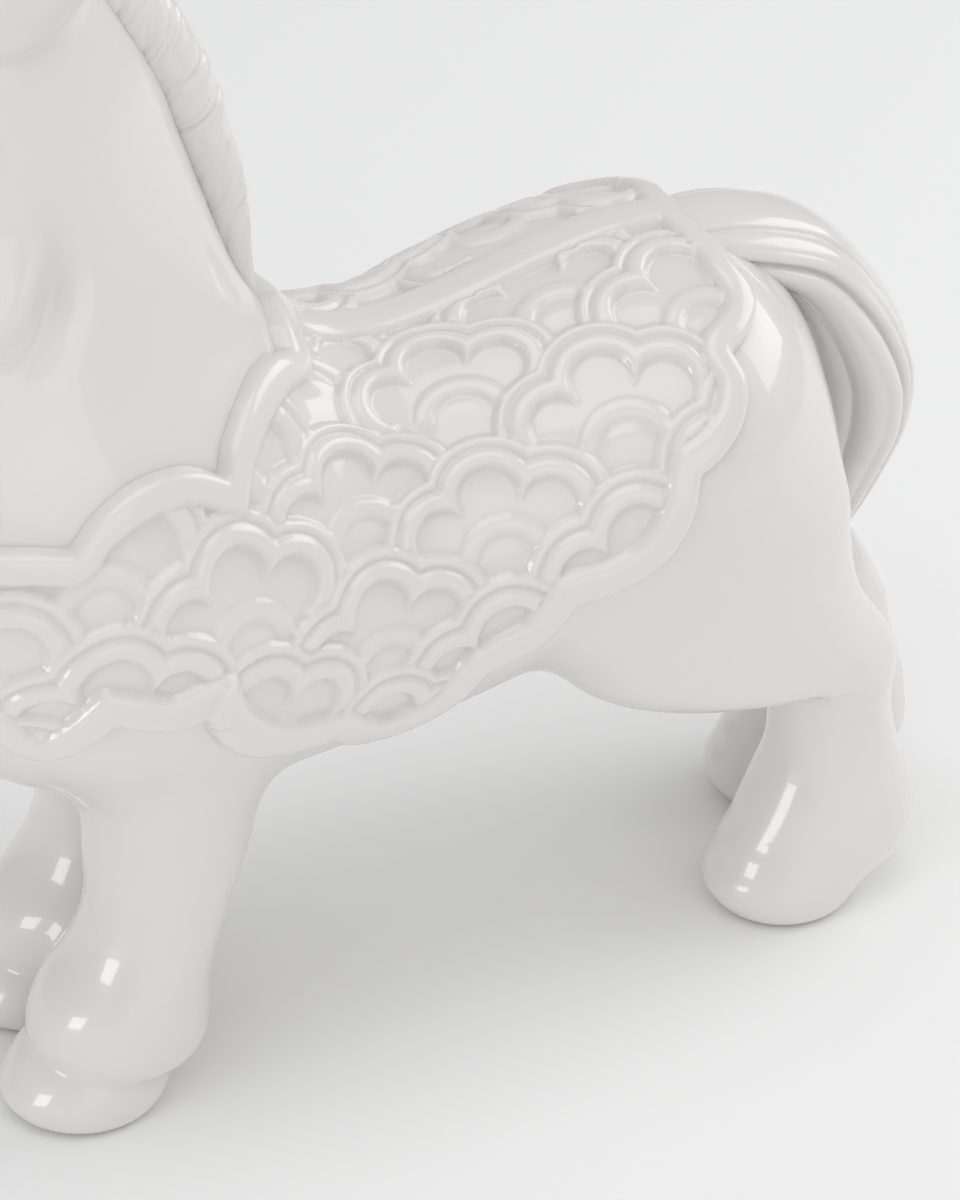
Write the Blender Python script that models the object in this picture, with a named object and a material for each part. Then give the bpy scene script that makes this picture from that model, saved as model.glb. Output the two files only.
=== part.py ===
"""Glazed porcelain foal figurine, standing, with a saddle cloth in raised cloud scales.

The foal faces -X, its left side is -Y and it stands on z = 0.
Tables and constants are in millimetres and the finished meshes are in metres.
"""

import math

import bmesh
import bpy
from mathutils import Vector
from mathutils.bvhtree import BVHTree

MM = 0.001

# Driving sizes: muzzle to hind hoof, across the trunk, soles to ear tips
LENGTH = 295.4
WIDTH = 100.5
HEIGHT = 314.9

# The tables below are drawn for a foal of this size; walls, fits and relief have sizes of their own
ALONG = LENGTH / 295.4
ACROSS = WIDTH / 100.5
UP = HEIGHT / 314.9

# Fits and walls
FIT_GAP = 0.3          # slip seam left between two castings
BODY_WALL = 4.5        # wall of the hollow trunk
NECK_WALL = 4.0        # wall of the hollow neck and head
AIR_HOLE_RADIUS = 1.9  # lets the air out of a hollow casting when it is fired
BELLY_HOLE = (-14.0, 55, 110)    # x, bottom and top of the rod that cuts a hole
NECK_HOLE = (-88.0, 150, 200)    # from the trunk into the neck
HEAD_HOLE = (-100.0, 215, 260)   # from the neck into the head

# Stance
LEG_OFFSET_Y = 18.0    # centre of a foot from the middle plane
RIGHT_FORE_STEP = 4.0  # how far the right forefoot stands behind the left one
RIGHT_HIND_STEP = 16.0  # how far the right hind foot stands behind the left one
FORE_STEP_TOP = 95.0   # a leg is straight above this and carried back below it
HIND_STEP_TOP = 92.0
STEP_FADE = 45.0       # height over which a leg takes up its step

# Saddle cloth, measured in the flat pattern that is draped over the body
CLOTH_SEAT = 0.9       # height of the cloth's underside over the skin
CLOTH_THICKNESS = 1.2
TRIM_SEAT = 0.8        # height of the trim's underside over the cloth
TRIM_INSET = 0.3       # the border's outer edge from the edge of the cloth
BORDER_WIDTH = 6.8
BORDER_HEIGHT = 1.9
BAND_HALF_WIDTH = 5.6  # smooth band along the spine
BAND_HEIGHT = 1.4
BAND_START_X = -41.0 * ALONG
BAND_END_X = 48.5 * ALONG
BAND_PARTS = 12
FRAME_WIDTH = 1.6      # thin line just inside the border
BAND_GAP = 1.2         # between the band and the scales
ROOM_DEPTH = 3.0       # how far the room cut for the cloth reaches under the skin
CLOUD_WIDTH = 2.8      # ribbon that draws a cloud scale
CLOUD_HEIGHT = 1.3
CLOUD_RADIUS = 8.2     # one lobe of a cloud scale
CLOUD_SINK = 0.5       # the ribbons start this far under the openwork and are cut level
CLOUD_STAGGER = 0.02   # each one a little lower, so that no two share a plane

# How matt the glaze is
GLAZE_ROUGHNESS = 0.1
TRIM_ROUGHNESS = 0.12
CLOTH_ROUGHNESS = 0.14

# Draping: the pattern is wound round an axis inside the trunk
AXIS_Z = 117.0 * UP
AXIS_FRONT_X = -95.0 * ALONG   # in front of this the pattern turns round the chest
DRAPE_RADIUS = 46.0    # pattern length per radian up and down
CHEST_RADIUS = 42.0    # pattern length per radian round the chest
SPINE_V = DRAPE_RADIUS * math.pi / 2
CHEST_U = AXIS_FRONT_X - CHEST_RADIUS * math.pi / 2
RAY_START = 150.0      # well outside the body, where the search for its skin begins
BEND_STEP = 9.0        # spacing of the edges that let a flat sheet bend
OVERLAP = 9.0          # how far a cutting plate reaches past the spine and the chest
SEAM_REACH = 0.01      # a point this close to the spine or the chest line lies on it
CHEST_SLIT = 0.4       # the scales end this far from the chest line
PATTERN_END_U = 70     # behind every piece of the pattern
PATTERN_STEP = 10

# x, top, bottom, half width, widening towards the bottom
TRUNK = (
    (-134, 147.5, 127.5, 3, 0), (-131, 157.5, 113.5, 20, 0),
    (-122, 167.5, 93.5, 36, 0), (-108, 174.5, 79.5, 43, 0.02),
    (-90, 173.5, 71.5, 46, 0.04), (-70, 168.5, 67.5, 46.5, 0.05),
    (-50, 162, 66.5, 45.5, 0.06), (-36, 156.5, 67.5, 44, 0.07),
    (-22, 153.5, 68.5, 44, 0.06), (-8, 154, 71.5, 45, 0.04),
    (7, 156.5, 75.5, 46, 0.02), (22, 159, 79.5, 46, 0),
    (36, 160.5, 84.5, 45, -0.02), (50, 159.5, 90.5, 42, -0.03),
    (61, 154, 96.5, 36, 0), (70, 145, 103.5, 26, 0),
    (76, 133.5, 112.5, 12, 0), (78, 125.5, 119.5, 3, 0),
)
# x, degrees below the side, swelling, reach along x, reach in degrees
SWELLINGS = ((44, 4, 5.0, 24, 34), (-84, 5, 4.0, 26, 45))
SWELL_FADE_WIDTH = 30  # a section narrower than this swells less

# z, front, back, half width, widening towards the back
NECK = (
    (115.5, -118, -50, 28, 0), (140.5, -136, -44.5, 40, 0),
    (157.5, -137.4, -43, 41.3, -0.05), (165, -135.6, -44.8, 37.8, -0.08),
    (172.5, -132.9, -46.6, 33.9, -0.1), (180, -130.1, -49.9, 30.7, -0.12),
    (189.5, -127, -53, 28, -0.15), (205.5, -123, -58, 25, -0.2),
    (221.5, -120, -63, 22.5, -0.2), (239.5, -117, -72, 20, -0.2),
    (253.5, -115, -80, 18, -0.1), (263.5, -112, -88, 12, 0),
)

# x, top, bottom, half width, widening towards the bottom
HEAD = (
    (-78, 267.5, 259.5, 4, 0), (-80.5, 277.5, 248.5, 14, 0),
    (-90, 289.5, 240, 23.5, 0.08), (-104, 295.5, 237, 26.5, 0.1),
    (-118, 293.5, 236, 25.5, 0.06), (-130, 287.5, 235.5, 21.5, 0),
    (-142, 278, 234.5, 18.3, 0), (-153, 270.5, 233, 16.6, 0),
    (-163, 266, 232, 16.4, 0), (-171, 262.5, 232.5, 15.6, 0),
    (-177, 257.5, 235, 12.3, 0), (-180.5, 250.5, 241.5, 5, 0),
)
HEAD_SQUARE = 0.07     # share of the way from a round section to a square one

# z, front, back, centre from the middle plane, half width
FORELEG = (
    (123, -102, -58, 24, 15), (105, -99, -56, 22, 17), (88, -94, -53.5, 20, 17.4),
    (72, -90.5, -53.5, 19, 16.8), (57, -90, -56, 18, 15.6), (46, -90.2, -60, 18, 15),
    (36, -94, -63.8, 18, 15.8), (27, -101, -65.5, 18, 16.8), (20, -103.6, -66, 18, 17.4),
    (15, -103.4, -66.5, 18, 17), (12, -100.5, -68.5, 18, 15.4), (9.5, -93, -74, 18, 10),
)
FOREHOOF = (
    (16, -100, -85, 7), (14.5, -104.5, -80, 12.5), (11, -107.8, -76.5, 15.2),
    (6, -110.4, -74.8, 16), (1.8, -108.5, -76.5, 14.8), (0, -105.5, -79, 12.8),
)
HINDLEG = (
    (136, 24, 57, 22, 12), (124, 12, 68, 24, 16), (108, 4.5, 75, 25, 19.5),
    (92, 3.5, 76.5, 25, 20.5), (80, 9, 77.5, 24.5, 19), (71, 18, 80, 23.5, 17),
    (65.5, 30, 83, 22, 15.4), (63, 46, 86, 20.5, 14), (60, 58, 88.5, 19.5, 13),
    (56, 64, 89.7, 18.5, 12.4), (52, 65.2, 90, 18, 12.2), (46, 65.5, 90.6, 18, 12.4),
    (37, 65, 93, 18, 13.6), (28, 61.5, 96.8, 18, 15.6), (19, 57.2, 99, 18, 16.4),
    (14, 55.8, 98, 18, 16.2), (10, 60, 95, 18, 14.6), (7, 67, 90.5, 18, 11),
)
HINDHOOF = (
    (15.5, 60, 80, 7), (14, 56, 83.5, 12.5), (10.5, 52.2, 85.6, 15.4),
    (6, 51.2, 86, 15.8), (1.8, 53.5, 84, 14.6), (0, 56, 81.5, 12.6),
)

# x, y, z, half width across, half depth
TAIL = (
    (42, 1, 152.5, 9, 6), (54, 2, 154, 13, 7), (67, 3, 150.5, 15.5, 8),
    (79, 4, 143.5, 16.5, 9), (89, 5, 130, 17, 10), (95, 5, 115.5, 16.5, 10.5),
    (95.5, 5, 104.5, 15.5, 10.3), (93.5, 5, 95.5, 13.5, 9.5), (90, 4, 86.5, 10.5, 8),
    (87, 4, 77.5, 7, 6), (84, 3, 69.5, 3, 3),
)
TAIL_STRANDS = 7
TAIL_STRAND_DEPTH = 0.09
TAIL_TWIST = 7.8       # how far the strands wind along the tail, as the cosine's angle
TAIL_FADE_START = 0.06  # the strands come in at the dock and run out before the tip
TAIL_FADE_RATE = 1.1

MANE = (
    (-44.3, 0, 165.5, 1.8, 1.8), (-46.8, 0, 176.5, 3, 3.3), (-49.3, 0, 190, 4.2, 5),
    (-53, 0, 203, 5.2, 6), (-56.3, 0, 212.5, 5.9, 6.6), (-60.7, 0, 223, 6.4, 7.1),
    (-66, 0, 231.5, 6.8, 7.4), (-74, 0, 244.5, 7, 8), (-82, 0, 260, 7, 8.5),
    (-87, 0, 276, 7, 9), (-93, 0, 290, 6.5, 9), (-103, 0, 299, 6, 7.5),
    (-114, 0, 300.5, 5.5, 5.5), (-124, 0, 295.5, 4, 4), (-131, 0, 289, 2, 2.5),
)
MANE_TUFTS = 13
MANE_TUFT_DEPTH = 0.1

EAR = (
    (-95, 15, 284, 7.5, 5), (-93, 17, 292, 8, 4.8), (-91, 19, 300, 7.4, 4.2),
    (-90, 20.5, 308, 5.4, 3.4), (-90, 21.5, 314.5, 2.6, 2),
)
EAR_HOLLOW_SHIFT = (-4.2, 0.4, 2.0)   # the scoop from the middle of the ear
EAR_HOLLOW_ACROSS = 0.62              # its half widths as shares of the ear's
EAR_HOLLOW_DEEP = 0.85

# Lobes of the cloth's edge in the flat pattern (u along the body, v up from the waterline)
EDGE_LOBES = (
    ((-42, SPINE_V), (-44.5, 64), (-45.9, 55.8)),
    ((-45.9, 55.8), (-51.1, 53), (-57.1, 48.5), (-63, 42.5), (-66.2, 38.5), (-67.9, 34.5)),
    ((-67.9, 34.5), (-72.8, 36.2), (-78.4, 36.8), (-87.2, 35.6), (-95.2, 32.6), (-100.1, 28.6)),
    ((-100.1, 28.6), (-108, 29.6), (-117, 29.6), (-124, 27), (-128.5, 22.5)),
    ((-128.5, 22.5), (-138, 26), (-150, 28), (CHEST_U / ALONG, 28.5)),
)
EDGE_LOBES_LOW = (
    ((CHEST_U / ALONG, -16.5), (-152, -15.5), (-144, -13), (-138.5, -8.5)),
    ((-138.5, -8.5), (-134, -14), (-127, -15.5), (-121, -12.5), (-117, -7)),
    ((-117, -7), (-113.5, -12), (-108, -15.2), (-102.6, -14.1), (-98, -10.2), (-94.2, -5.7)),
    ((-94.2, -5.7), (-91, -6.9), (-86.8, -8.2), (-82.3, -8.7), (-77.2, -8.1)),
    ((-77.2, -8.1), (-75.3, -12.7), (-72.1, -17.6), (-68.3, -21.2), (-62.5, -24.6), (-55.7, -26.4),
     (-48.3, -27)),
    ((-48.3, -27), (-44.5, -30.4), (-40, -33), (-34, -34.2), (-28, -33.2), (-22, -30),
     (-17.5, -25.8), (-14.1, -20.7)),
    ((-14.1, -20.7), (-10.2, -19.2), (-6.4, -18), (-2.9, -16.4), (-0.2, -13.6), (3.8, -8)),
    ((3.8, -8), (10, -7.2), (17, -4.8), (23.1, -0.6), (27.8, 6), (30.5, 13.5)),
    ((30.5, 13.5), (34.5, 15.4), (39, 18.8), (42.2, 22.8), (44.2, 28), (43.2, 34)),
    ((43.2, 34), (48, 36.8), (52, 41.6), (53.4, 47), (52.6, 53)),
    ((52.6, 53), (52.4, 58), (51.2, 64), (49.8, SPINE_V)),
)

# Cloud scales in the flat pattern, by the top of their openings, in slanting rows
CLOUDS = (
    (-43, 88), (-15, 75), (13.5, 72), (40, 60),
    (-69.5, 82), (-41.5, 69), (-13.1, 56.4), (16.1, 41.5), (44.5, 27),
    (-97, 60), (-69, 47.5), (-40.2, 34.7), (-11.9, 24), (16.1, 10.5), (44, -4),
    (-155, 44), (-125.5, 49), (-97, 36), (-68.6, 22.4), (-38.1, 6.5), (-11, -5.5), (17, -20),
    (-152, 16), (-123, 21.5), (-94.5, 8), (-65.5, -3.8), (-36, -19.5), (-8, -32),
    (-150, -9), (-121, -5), (-92.5, -19), (-64, -33),
)
CLOUD_LOBES = ((-11.0, -11.9), (0.0, -6.2), (11.2, -11.1))

GLAZE = (0.86, 0.855, 0.84, 1.0)

COLLECTION = None
CUTTERS = None


def clear_scene():
    for item in list(bpy.data.objects):
        bpy.data.objects.remove(item)


def make_collections():
    global COLLECTION, CUTTERS
    COLLECTION = bpy.data.collections.new("foal_figurine")
    CUTTERS = bpy.data.collections.new("cutters")
    bpy.context.scene.collection.children.link(COLLECTION)
    bpy.context.scene.collection.children.link(CUTTERS)


def glaze(name, roughness):
    material = bpy.data.materials.new(name + "_glaze")
    material.use_nodes = True
    shader = material.node_tree.nodes["Principled BSDF"]
    shader.inputs["Base Color"].default_value = GLAZE
    shader.inputs["Roughness"].default_value = roughness
    shader.inputs["Metallic"].default_value = 0.0
    return material


def new_object(name, points, faces, collection=None):
    mesh = bpy.data.meshes.new(name)
    mesh.from_pydata([Vector(p) * MM for p in points], [], faces)
    mesh.update()
    item = bpy.data.objects.new(name, mesh)
    (collection or CUTTERS).objects.link(item)
    if collection is None:
        item.display_type = "WIRE"
        item.hide_render = True
    return item


def copied(item, name):
    twin = item.copy()
    twin.data = item.data.copy()
    twin.name = name
    CUTTERS.objects.link(twin)
    twin.display_type = "WIRE"
    twin.hide_render = True
    return twin


def smooth_rows(rows, count):
    """Smooth curve through rows of numbers, sampled evenly."""
    first = [2 * a - b for a, b in zip(rows[0], rows[1])]
    last = [2 * a - b for a, b in zip(rows[-1], rows[-2])]
    table = [first] + [list(row) for row in rows] + [last]
    result = []
    for step in range(count):
        place = step * (len(rows) - 1) / (count - 1)
        i = min(int(place), len(rows) - 2)
        t = place - i
        row = []
        for a, b, c, d in zip(*table[i:i + 4]):
            row.append(0.5 * (2 * b + (c - a) * t + (2 * a - 5 * b + 4 * c - d) * t * t
                              + (3 * b - a - 3 * c + d) * t ** 3))
        result.append(row)
    return result


def loft(name, rings, collection=None):
    """Closed body through rings of the same number of points."""
    n = len(rings[0])
    points = [p for ring in rings for p in ring]
    faces = [tuple(range(n)), tuple((len(rings) - 1) * n + k for k in reversed(range(n)))]
    for i in range(len(rings) - 1):
        for j in range(n):
            k = (j + 1) % n
            faces.append((i * n + j, (i + 1) * n + j, (i + 1) * n + k, i * n + k))
    item = new_object(name, points, faces, collection)
    face_outwards(item)
    return item


def face_outwards(item):
    work = bmesh.new()
    work.from_mesh(item.data)
    bmesh.ops.recalc_face_normals(work, faces=work.faces)
    work.to_mesh(item.data)
    work.free()


def grown(item, amount, name):
    """Copy of a body with its skin moved out along the normals."""
    twin = copied(item, name)
    work = bmesh.new()
    work.from_mesh(twin.data)
    work.normal_update()
    moves = [(v, v.normal * amount * MM) for v in work.verts]
    for v, move in moves:
        v.co += move
    work.to_mesh(twin.data)
    work.free()
    return twin


def apply_modifiers(item):
    graph = bpy.context.evaluated_depsgraph_get()
    mesh = bpy.data.meshes.new_from_object(item.evaluated_get(graph))
    item.modifiers.clear()
    old = item.data
    item.data = mesh
    bpy.data.meshes.remove(old)


def boolean(item, other, operation, solver="EXACT"):
    modifier = item.modifiers.new(operation.lower(), "BOOLEAN")
    modifier.operation = operation
    modifier.solver = solver
    modifier.object = other
    apply_modifiers(item)


def subtract(item, others):
    for other in others:
        boolean(item, other, "DIFFERENCE")


def air_hole(name, x, low, high):
    """Upright rod on the middle plane that cuts an air hole."""
    rings = []
    for z in (low * UP, high * UP):
        turns = [a * math.pi / 6 for a in range(12)]
        rings.append([(x * ALONG + AIR_HOLE_RADIUS * math.cos(a), AIR_HOLE_RADIUS * math.sin(a), z)
                      for a in turns])
    return loft(name, rings)


def keep_largest(item):
    """Drops small loose pieces that a cut leaves behind."""
    work = bmesh.new()
    work.from_mesh(item.data)
    left = set(work.verts)
    groups = []
    while left:
        seed = left.pop()
        group = [seed]
        queue = [seed]
        while queue:
            for edge in queue.pop().link_edges:
                for vert in edge.verts:
                    if vert in left:
                        left.remove(vert)
                        group.append(vert)
                        queue.append(vert)
        groups.append(group)
    groups.sort(key=len)
    for group in groups[:-1]:
        bmesh.ops.delete(work, geom=group, context="VERTS")
    work.to_mesh(item.data)
    work.free()


def finish(item, name, roughness=GLAZE_ROUGHNESS):
    """Names a body, gives it its glaze and moves it among the parts."""
    CUTTERS.objects.unlink(item)
    COLLECTION.objects.link(item)
    item.hide_render = False
    item.display_type = "TEXTURED"
    item.name = name
    item.data.name = name
    work = bmesh.new()
    work.from_mesh(item.data)
    bmesh.ops.remove_doubles(work, verts=work.verts, dist=0.000005)
    bmesh.ops.dissolve_degenerate(work, edges=work.edges, dist=0.000005)
    work.to_mesh(item.data)
    work.free()
    item.data.materials.clear()
    item.data.materials.append(glaze(name, roughness))
    for face in item.data.polygons:
        face.use_smooth = True
    return item


def trunk_rings(inset, rows, count, n):
    rings = []
    for x, top, bottom, half, egg in smooth_rows(rows, count):
        ring = []
        middle = (top + bottom) / 2 * UP
        high = (top - bottom) / 2 * UP - inset
        wide = half * ACROSS - inset
        for k in range(n):
            a = 2 * math.pi * k / n
            c, s = math.cos(a), math.sin(a)
            low = -math.degrees(math.atan2(s, abs(c)))
            swell = 0.0
            for at, angle, amount, reach, spread in SWELLINGS:
                swell += amount * math.exp(-((x - at) / reach) ** 2 - ((low - angle) / spread) ** 2)
            swell *= min(1.0, half / SWELL_FADE_WIDTH) * ACROSS
            nx, nz = c / wide, s / high
            size = math.hypot(nx, nz)
            y = wide * (1 - egg * s) * c + swell * nx / size
            z = middle + high * s + swell * nz / size
            ring.append((x * ALONG, y, z))
        rings.append(ring)
    return rings


def upright_rings(rows, count, n, inset=0.0, side=1, step=0.0, step_top=0.0):
    """Rings of a neck or leg; a step carries the lower rows along x."""
    rings = []
    for row in smooth_rows(rows, count):
        z, front, back, centre, half, egg = row
        share = max(0.0, min(1.0, (step_top - z) / STEP_FADE))
        middle = ((front + back) / 2 + step * share) * ALONG
        deep = (back - front) / 2 * ALONG - inset
        wide = half * ACROSS - inset
        ring = []
        for k in range(n):
            a = 2 * math.pi * k / n
            c, s = math.cos(a), math.sin(a)
            y = side * centre * ACROSS + wide * (1 + egg * c) * s
            ring.append((middle + deep * c, y, z * UP))
        rings.append(ring)
    return rings


def path_rings(rows, count, n, shape):
    """Rings square to a path; shape(angle, share) scales the radius."""
    sized = [(x * ALONG, y * ACROSS, z * UP, wide * ACROSS, deep) for x, y, z, wide, deep in rows]
    table = smooth_rows(sized, count)
    rings = []
    for i, (x, y, z, across, deep) in enumerate(table):
        before = Vector(table[max(i - 1, 0)][:3])
        after = Vector(table[min(i + 1, count - 1)][:3])
        ahead = (after - before).normalized()
        side = Vector((0, 1, 0))
        side = (side - ahead * side.dot(ahead)).normalized()
        out = side.cross(ahead)
        ring = []
        for k in range(n):
            a = 2 * math.pi * k / n
            r = shape(a, i / (count - 1))
            ring.append(Vector((x, y, z)) + side * across * r * math.cos(a)
                        + out * deep * r * math.sin(a))
        rings.append(ring)
    return rings


def make_trunk():
    return loft("trunk_skin", trunk_rings(0.0, TRUNK, 25, 32))


def make_trunk_cavity():
    rows = [row for row in TRUNK if row[3] > 18]
    return loft("trunk_cavity", trunk_rings(BODY_WALL, rows, 13, 20))


def neck_rows():
    return [(z, f, b, 0.0, w, egg) for z, f, b, w, egg in NECK]


def make_neck():
    return loft("neck_skin", upright_rings(neck_rows(), 17, 26))


def make_neck_cavity():
    """Hollow of the neck, with a floor over the back and a roof under the jaw."""
    front = min(row[1] for row in NECK)
    low = max(row[1] for row in TRUNK) * UP + NECK_WALL
    high = min(row[2] for row in HEAD if row[0] > front) * UP - NECK_WALL
    rings = upright_rings(neck_rows(), 24, 16, NECK_WALL)
    return loft("neck_cavity", [ring for ring in rings if low < ring[0][2] < high])


def make_head():
    rings = head_rings(0.0, HEAD, 19, 24)
    return loft("head_skin", rings)


def make_head_cavity():
    rows = [row for row in HEAD if row[3] > 13]
    return loft("head_cavity", head_rings(NECK_WALL, rows, 10, 16))


def head_rings(inset, rows, count, n):
    rings = []
    for x, top, bottom, half, egg in smooth_rows(rows, count):
        middle = (top + bottom) / 2 * UP
        high = (top - bottom) / 2 * UP - inset
        ring = []
        for k in range(n):
            a = 2 * math.pi * k / n
            c, s = math.cos(a), math.sin(a)
            square = 1 + HEAD_SQUARE * (1 / max(abs(c), abs(s)) - 1)
            y = (half * ACROSS - inset) * (1 - egg * s) * c * square
            ring.append((x * ALONG, y, middle + high * s * square))
        rings.append(ring)
    return rings


def make_leg(name, rows, hoof, side, step, step_top, count, n=20):
    leg_rows = [(z, f, b, c, w, 0.0) for z, f, b, c, w in rows]
    leg = loft(name, upright_rings(leg_rows, count, n, side=side, step=step, step_top=step_top))
    hoof_rows = [(z, f + step, b + step, LEG_OFFSET_Y, w, 0.0) for z, f, b, w in hoof]
    foot = loft(name + "_hoof", upright_rings(hoof_rows, 9, n, side=side))
    boolean(leg, foot, "UNION")
    return leg


def strand_shape(a, share):
    fade = math.sin(math.pi * min(1.0, TAIL_FADE_START + TAIL_FADE_RATE * share)) ** 0.5
    return 1 + TAIL_STRAND_DEPTH * fade * math.cos(TAIL_STRANDS * a + TAIL_TWIST * share)


def make_tail():
    return loft("tail_skin", path_rings(TAIL, 16, 28, strand_shape))


def tuft_shape(a, share):
    outer = max(0.0, -math.sin(a))
    return 1 + MANE_TUFT_DEPTH * outer * math.cos(2 * math.pi * MANE_TUFTS * share)


def make_mane():
    return loft("mane_skin", path_rings(MANE, 53, 10, tuft_shape))


def make_ear(name, side):
    rows = [(x, side * y, z, a, d) for x, y, z, a, d in EAR]
    ear = loft(name, path_rings(rows, 7, 12, lambda a, share: 1.0))
    along, out, up = EAR_HOLLOW_SHIFT
    hollow_rows = [(x + along, side * (y + out), z + up, a * EAR_HOLLOW_ACROSS, d * EAR_HOLLOW_DEEP)
                   for x, y, z, a, d in EAR]
    hollow = loft(name + "_hollow", path_rings(hollow_rows, 5, 8, lambda a, share: 1.0))
    boolean(ear, hollow, "DIFFERENCE")
    return ear


def edge_points(lobes, per_lobe):
    """Points along a row of scalloped lobes that meet in cusps."""
    result = []
    for lobe in lobes:
        count = max(3, round(per_lobe * (len(lobe) - 1) / 4) + 1)
        row = smooth_rows(lobe, count)
        if result:
            row = row[1:]
        result.extend((p[0] * ALONG, p[1]) for p in row)
    return result


def offset_line(points, amount):
    """The line moved to its left, with round corners where it turns away."""
    result = []
    last = len(points) - 1
    for i, p in enumerate(points):
        here = Vector(p)
        into = (here - Vector(points[i - 1])).normalized() if i else None
        out = (Vector(points[i + 1]) - here).normalized() if i < last else None
        into = into or out
        out = out or into
        turn = into.x * out.y - into.y * out.x
        if turn < -0.35:
            for share in (0.0, 0.5, 1.0):
                way = (into * (1 - share) + out * share).normalized()
                result.append((here.x - way.y * amount, here.y + way.x * amount))
        else:
            way = (into + out).normalized()
            result.append((here.x - way.y * amount, here.y + way.x * amount))
    return result


def plate(name, outline, low, high):
    """Flat closed plate from an outline in the pattern."""
    work = bmesh.new()
    verts = [work.verts.new((u * MM, v * MM, low * MM)) for u, v in outline]
    face = work.faces.new(verts)
    made = bmesh.ops.extrude_face_region(work, geom=[face])
    lifted = [g for g in made["geom"] if isinstance(g, bmesh.types.BMVert)]
    bmesh.ops.translate(work, verts=lifted, vec=(0, 0, (high - low) * MM))
    bmesh.ops.recalc_face_normals(work, faces=work.faces)
    mesh = bpy.data.meshes.new(name)
    work.to_mesh(mesh)
    work.free()
    item = bpy.data.objects.new(name, mesh)
    CUTTERS.objects.link(item)
    item.display_type = "WIRE"
    item.hide_render = True
    return item


def ribbon(name, line, width, low, high):
    left = offset_line(line, width / 2)
    right = offset_line(line[::-1], width / 2)
    return plate(name, left + right, low, high)


def cloth_outline(inset, spine_end, chest_end, per_lobe=5):
    """Closed outline of the left half, run with the inside on its left."""
    front = edge_points(EDGE_LOBES, per_lobe)
    low = edge_points(EDGE_LOBES_LOW, per_lobe)
    if inset:
        front = offset_line(front, inset)
        low = offset_line(low, inset)
        front[0] = (front[0][0], spine_end)
        front[-1] = (chest_end, front[-1][1])
        low[0] = (chest_end, low[0][1])
        low[-1] = (low[-1][0], spine_end)
    return front + low


def cloud_line(centre, steps):
    """Line of three lobes over a cloud scale, from the left foot to the right one."""
    points = []
    count = len(CLOUD_LOBES)
    for i, (x, y) in enumerate(CLOUD_LOBES):
        start = 215.0 if i == 0 else crossing(CLOUD_LOBES[i - 1], (x, y), True)
        stop = -35.0 if i == count - 1 else crossing((x, y), CLOUD_LOBES[i + 1], False)
        start += 360.0 if start < stop else 0.0
        for k in range(steps + 1):
            if i and not k:
                continue
            a = math.radians(start + (stop - start) * k / steps)
            points.append((centre[0] + x + CLOUD_RADIUS * math.cos(a),
                           centre[1] + y + CLOUD_RADIUS * math.sin(a)))
    return points


def crossing(first, second, on_second):
    """Angle in degrees at which two neighbouring lobes meet above their centres."""
    a, b = Vector(first), Vector(second)
    gap = b - a
    half = math.sqrt(max(CLOUD_RADIUS ** 2 - gap.length_squared / 4, 0.01))
    up = Vector((-gap.y, gap.x)).normalized()
    meet = (a + b) / 2 + up * half
    way = meet - (b if on_second else a)
    return math.degrees(math.atan2(way.y, way.x))


def drape_frame(u, v, side):
    """Axis point and outward direction of a place in the pattern."""
    around = max(0.0, (AXIS_FRONT_X - u) / CHEST_RADIUS)
    up = v / DRAPE_RADIUS
    axis = Vector((max(u, AXIS_FRONT_X), 0.0, AXIS_Z))
    way = Vector((-math.sin(around) * math.cos(up), side * math.cos(around) * math.cos(up),
                  math.sin(up)))
    return axis, way


def drape(item, skin, side=-1):
    """Winds a flat piece round the body."""
    work = bmesh.new()
    work.from_mesh(item.data)
    for vert in work.verts:
        u, v, height = vert.co / MM
        axis, way = drape_frame(max(u, CHEST_U + SEAM_REACH), min(v, SPINE_V - SEAM_REACH), side)
        hit = skin.ray_cast((axis + way * RAY_START) * MM, -way)[0]
        if u < CHEST_U + SEAM_REACH or v > SPINE_V - SEAM_REACH:
            hit.y = 0.0
            way.y = 0.0
        vert.co = hit + way * height * MM
    bmesh.ops.recalc_face_normals(work, faces=work.faces)
    work.to_mesh(item.data)
    work.free()


def slice_flat(item, step_u, step_v):
    """Adds edges across a flat piece so that it can bend."""
    work = bmesh.new()
    work.from_mesh(item.data)
    for axis, step in ((0, step_u), (1, step_v)):
        low = min(v.co[axis] for v in work.verts) / MM
        high = max(v.co[axis] for v in work.verts) / MM
        place = math.ceil(low / step) * step
        while place < high:
            normal = [0.0, 0.0, 0.0]
            normal[axis] = 1.0
            at = [0.0, 0.0, 0.0]
            at[axis] = place * MM
            pieces = list(work.verts) + list(work.edges) + list(work.faces)
            bmesh.ops.bisect_plane(work, geom=pieces, dist=0.00001, plane_co=at, plane_no=normal)
            place += step
    bmesh.ops.triangulate(work, faces=[f for f in work.faces if len(f.verts) > 4])
    work.to_mesh(item.data)
    work.free()


def split_wide_faces(item):
    """Triangles inside the outline of a flat piece, so that it can bend."""
    work = bmesh.new()
    work.from_mesh(item.data)
    bmesh.ops.triangulate(work, faces=work.faces, ngon_method="BEAUTY")
    work.to_mesh(item.data)
    work.free()


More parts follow.
